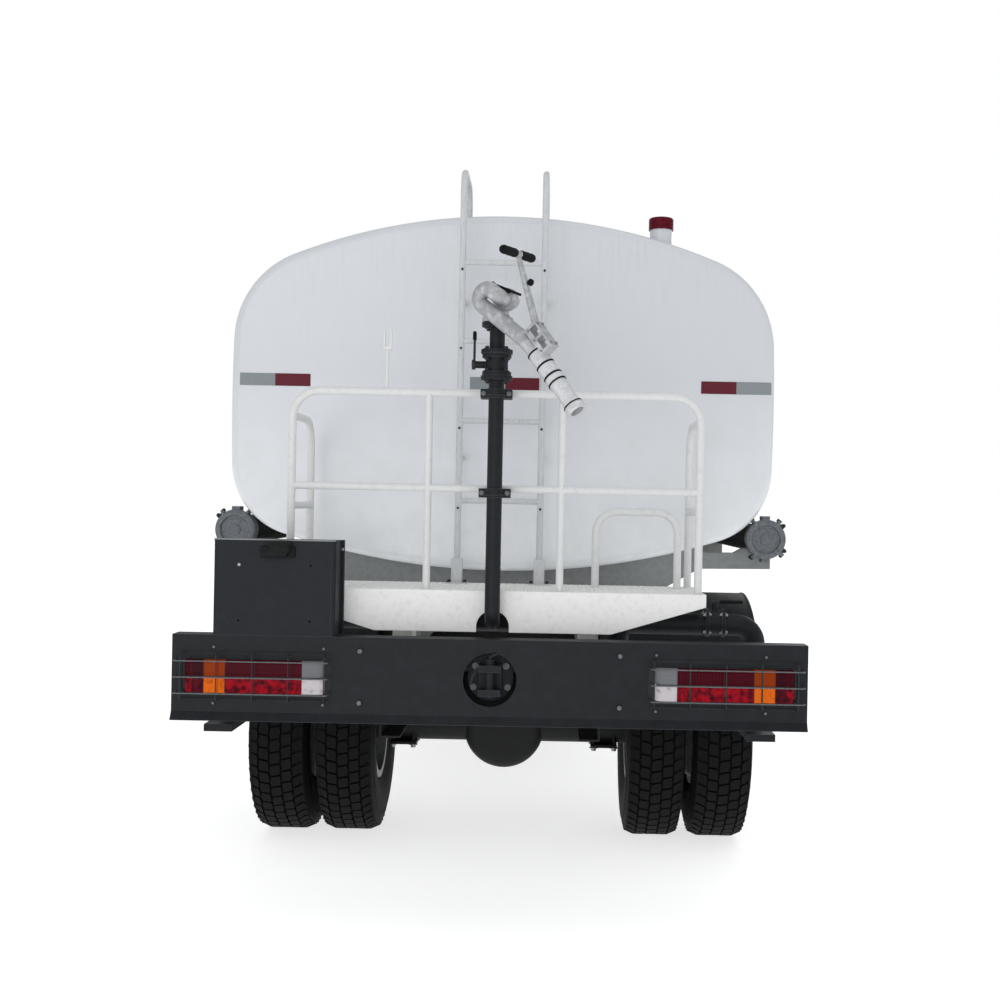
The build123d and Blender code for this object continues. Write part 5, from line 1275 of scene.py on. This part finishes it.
class TANKER_OT_seats(bpy.types.Operator):
    """Padded seats with sewn channels, on their pedestals"""

    bl_idname = "tanker.seats"
    bl_label = "Seats"

    def execute(self, context):
        for side, hand in HANDS:
            x = side * SEAT_X
            # Cushion, back and head rest
            blocks = [((x - 244, 2474, 1614), (x + 244, 2932, 1714), 26),
                      ((x - 234, 2344, 1748), (x + 234, 2432, 2258), 26),
                      ((x - 126, 2352, 2292), (x + 126, 2416, 2436), 22)]
            pad = swollen(f"seat_pads_{hand}", blocks, 14)
            ways = [v.normal.copy() for v in pad.data.vertices]
            for vert, way in zip(pad.data.vertices, ways):
                across = abs(vert.co.x / MM - x)
                dip = 0.008 * math.exp(-((across - 105) / 11) ** 2)
                if vert.co.z < 1.74:
                    dip += 0.007 * math.exp(-((vert.co.y / MM - 2700) / 11) ** 2) * (across < 105)
                    vert.co.z -= dip * max(0, way.z)
                elif vert.co.z < 2.275:
                    for z in (1900, 2080):
                        dip += 0.007 * math.exp(-((vert.co.z / MM - z) / 11) ** 2) * (across < 105)
                    vert.co.y -= dip * max(0, way.y)
            for face in pad.data.polygons:
                face.use_smooth = True
            pad.data.materials.clear()
            pad.data.materials.append(FINISH["seat_cloth"])
            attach(pad, "cab")
            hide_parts("seats")
        whole = bmesh.new()
        for side in SIDES:
            x = side * SEAT_X
            slab(whole, (x - 178, 2500, 1300), (x + 178, 2866, 1560), 14, 0, 3)
            slab(whole, (x - 236, 2440, 1560), (x + 236, 2920, 1602), 12, 0, 3)
            slab(whole, (x - 224, 2326, 1640), (x + 224, 2344, 2250), 7, 0, 3)
            for way in SIDES:
                slab(whole, (x + way * 246 - 9, 2380, 1575), (x + way * 246 + 9, 2560, 1700), 8, 0, 3)
                wire(whole, [(x + way * 62, 2384, 2235), (x + way * 62, 2384, 2310)], 6, finish=1)
            loop = [(x - 90, 2925, 1572), (x - 90, 2950, 1566), (x + 90, 2950, 1566), (x + 90, 2925, 1572)]
            wire(whole, loop, 6, finish=1)
        piece("seat_bases", whole, "cab", ["dark_plastic", "zinc_plate"])
        return {"FINISHED"}


class TANKER_OT_stage(bpy.types.Operator):
    """Pale floor, soft light and the camera behind the truck"""

    bl_idname = "tanker.stage"
    bl_label = "Stage"

    def execute(self, context):
        scene = context.scene
        part = bmesh.new()
        bmesh.ops.create_circle(part, cap_ends=True, segments=96, radius=90)
        mesh = bpy.data.meshes.new("floor")
        part.to_mesh(mesh)
        part.free()
        mesh.materials.append(surface("floor_paint", "#d2d2d2", 0.75, layers=[
            tone(2500, 0.3, 0.7, 0.15, "#cccccc")], specular_ior_level=0.1,
            emission_color=(1, 1, 1, 1), emission_strength=0.7))
        floor = bpy.data.objects.new("floor", mesh)
        scene.collection.objects.link(floor)
        world = bpy.data.worlds.new("studio")
        scene.world = world
        world.use_nodes = True
        # Seen straight on the backdrop is plain white; what it sheds on the truck is softer
        tree = world.node_tree
        tree.nodes.clear()
        seen = add(tree, "ShaderNodeLightPath").outputs["Is Camera Ray"]
        soft = add(tree, "ShaderNodeBackground", {"Color": (0.97, 0.985, 1.0, 1.0), "Strength": 0.62}).outputs[0]
        plain = add(tree, "ShaderNodeBackground", {"Color": (1.0, 1.0, 1.0, 1.0), "Strength": 1.0}).outputs[0]
        mixed = add(tree, "ShaderNodeMixShader", {0: seen, 1: soft, 2: plain})
        add(tree, "ShaderNodeOutputWorld", {"Surface": mixed.outputs[0]})
        lamps = [("top_light", (1.5, -4.0, 11.0), (0, -1.5, 1.0), 9.0, 130),
                 ("rear_light", (-3.0, -14.0, 3.0), (0, -3, 1.5), 7.0, 200),
                 ("front_light", (7.0, 13.0, 7.0), (0, 3, 1.5), 6.0, 260)]
        for name, at, to, size, power in lamps:
            data = bpy.data.lights.new(name, "AREA")
            data.shape, data.size, data.energy = "DISK", size, power
            lamp = bpy.data.objects.new(name, data)
            lamp.location = at
            lamp.rotation_euler = (Vector(to) - Vector(at)).to_track_quat("-Z", "Y").to_euler()
            scene.collection.objects.link(lamp)
        lens = bpy.data.cameras.new("camera")
        lens.lens, lens.sensor_width = 46.8, 36.0
        lens.shift_x, lens.shift_y = -0.0526, 0.005
        lens.clip_end = 400
        camera = bpy.data.objects.new("camera", lens)
        camera.location = (0.229, -8.752, 1.68)
        roll = Matrix.Rotation(math.radians(1.1), 3, "Z")
        camera.rotation_euler = (Matrix.Rotation(math.radians(90), 3, "X") @ roll).to_euler()
        scene.collection.objects.link(camera)
        scene.camera = camera
        scene.view_settings.view_transform = "Standard"
        return {"FINISHED"}


OPERATORS = (TANKER_OT_paint, TANKER_OT_tyres, TANKER_OT_wheel_nuts, TANKER_OT_tail_lamps,
             TANKER_OT_bumper_fittings, TANKER_OT_lamp_guards, TANKER_OT_sheeting, TANKER_OT_tread_plate,
             TANKER_OT_hoses, TANKER_OT_pipe_fittings, TANKER_OT_monitor_fittings, TANKER_OT_ladder_fittings,
             TANKER_OT_tank_fittings, TANKER_OT_running_gear, TANKER_OT_cab_outside, TANKER_OT_doors,
             TANKER_OT_cab_inside, TANKER_OT_seats, TANKER_OT_stage)


class TANKER_PT_panel(bpy.types.Panel):
    """Buttons for each group of pieces"""

    bl_idname = "TANKER_PT_panel"
    bl_label = "Water Tanker"
    bl_space_type = "VIEW_3D"
    bl_region_type = "UI"
    bl_category = "Tanker"

    def draw(self, context):
        for kind in OPERATORS:
            self.layout.operator(kind.bl_idname)


CLASSES = (TankerPaint, TankerSizes, *OPERATORS, TANKER_PT_panel)


def register():
    for kind in CLASSES:
        bpy.utils.register_class(kind)
    bpy.types.Scene.tanker_paint = bpy.props.PointerProperty(type=TankerPaint)
    bpy.types.Scene.tanker_sizes = bpy.props.PointerProperty(type=TankerSizes)


def unregister():
    del bpy.types.Scene.tanker_paint
    del bpy.types.Scene.tanker_sizes
    for kind in reversed(CLASSES):
        bpy.utils.unregister_class(kind)


def main():
    register()
    for kind in OPERATORS:
        group, name = kind.bl_idname.split(".")
        getattr(getattr(bpy.ops, group), name)()


if __name__ == "__main__":
    main()
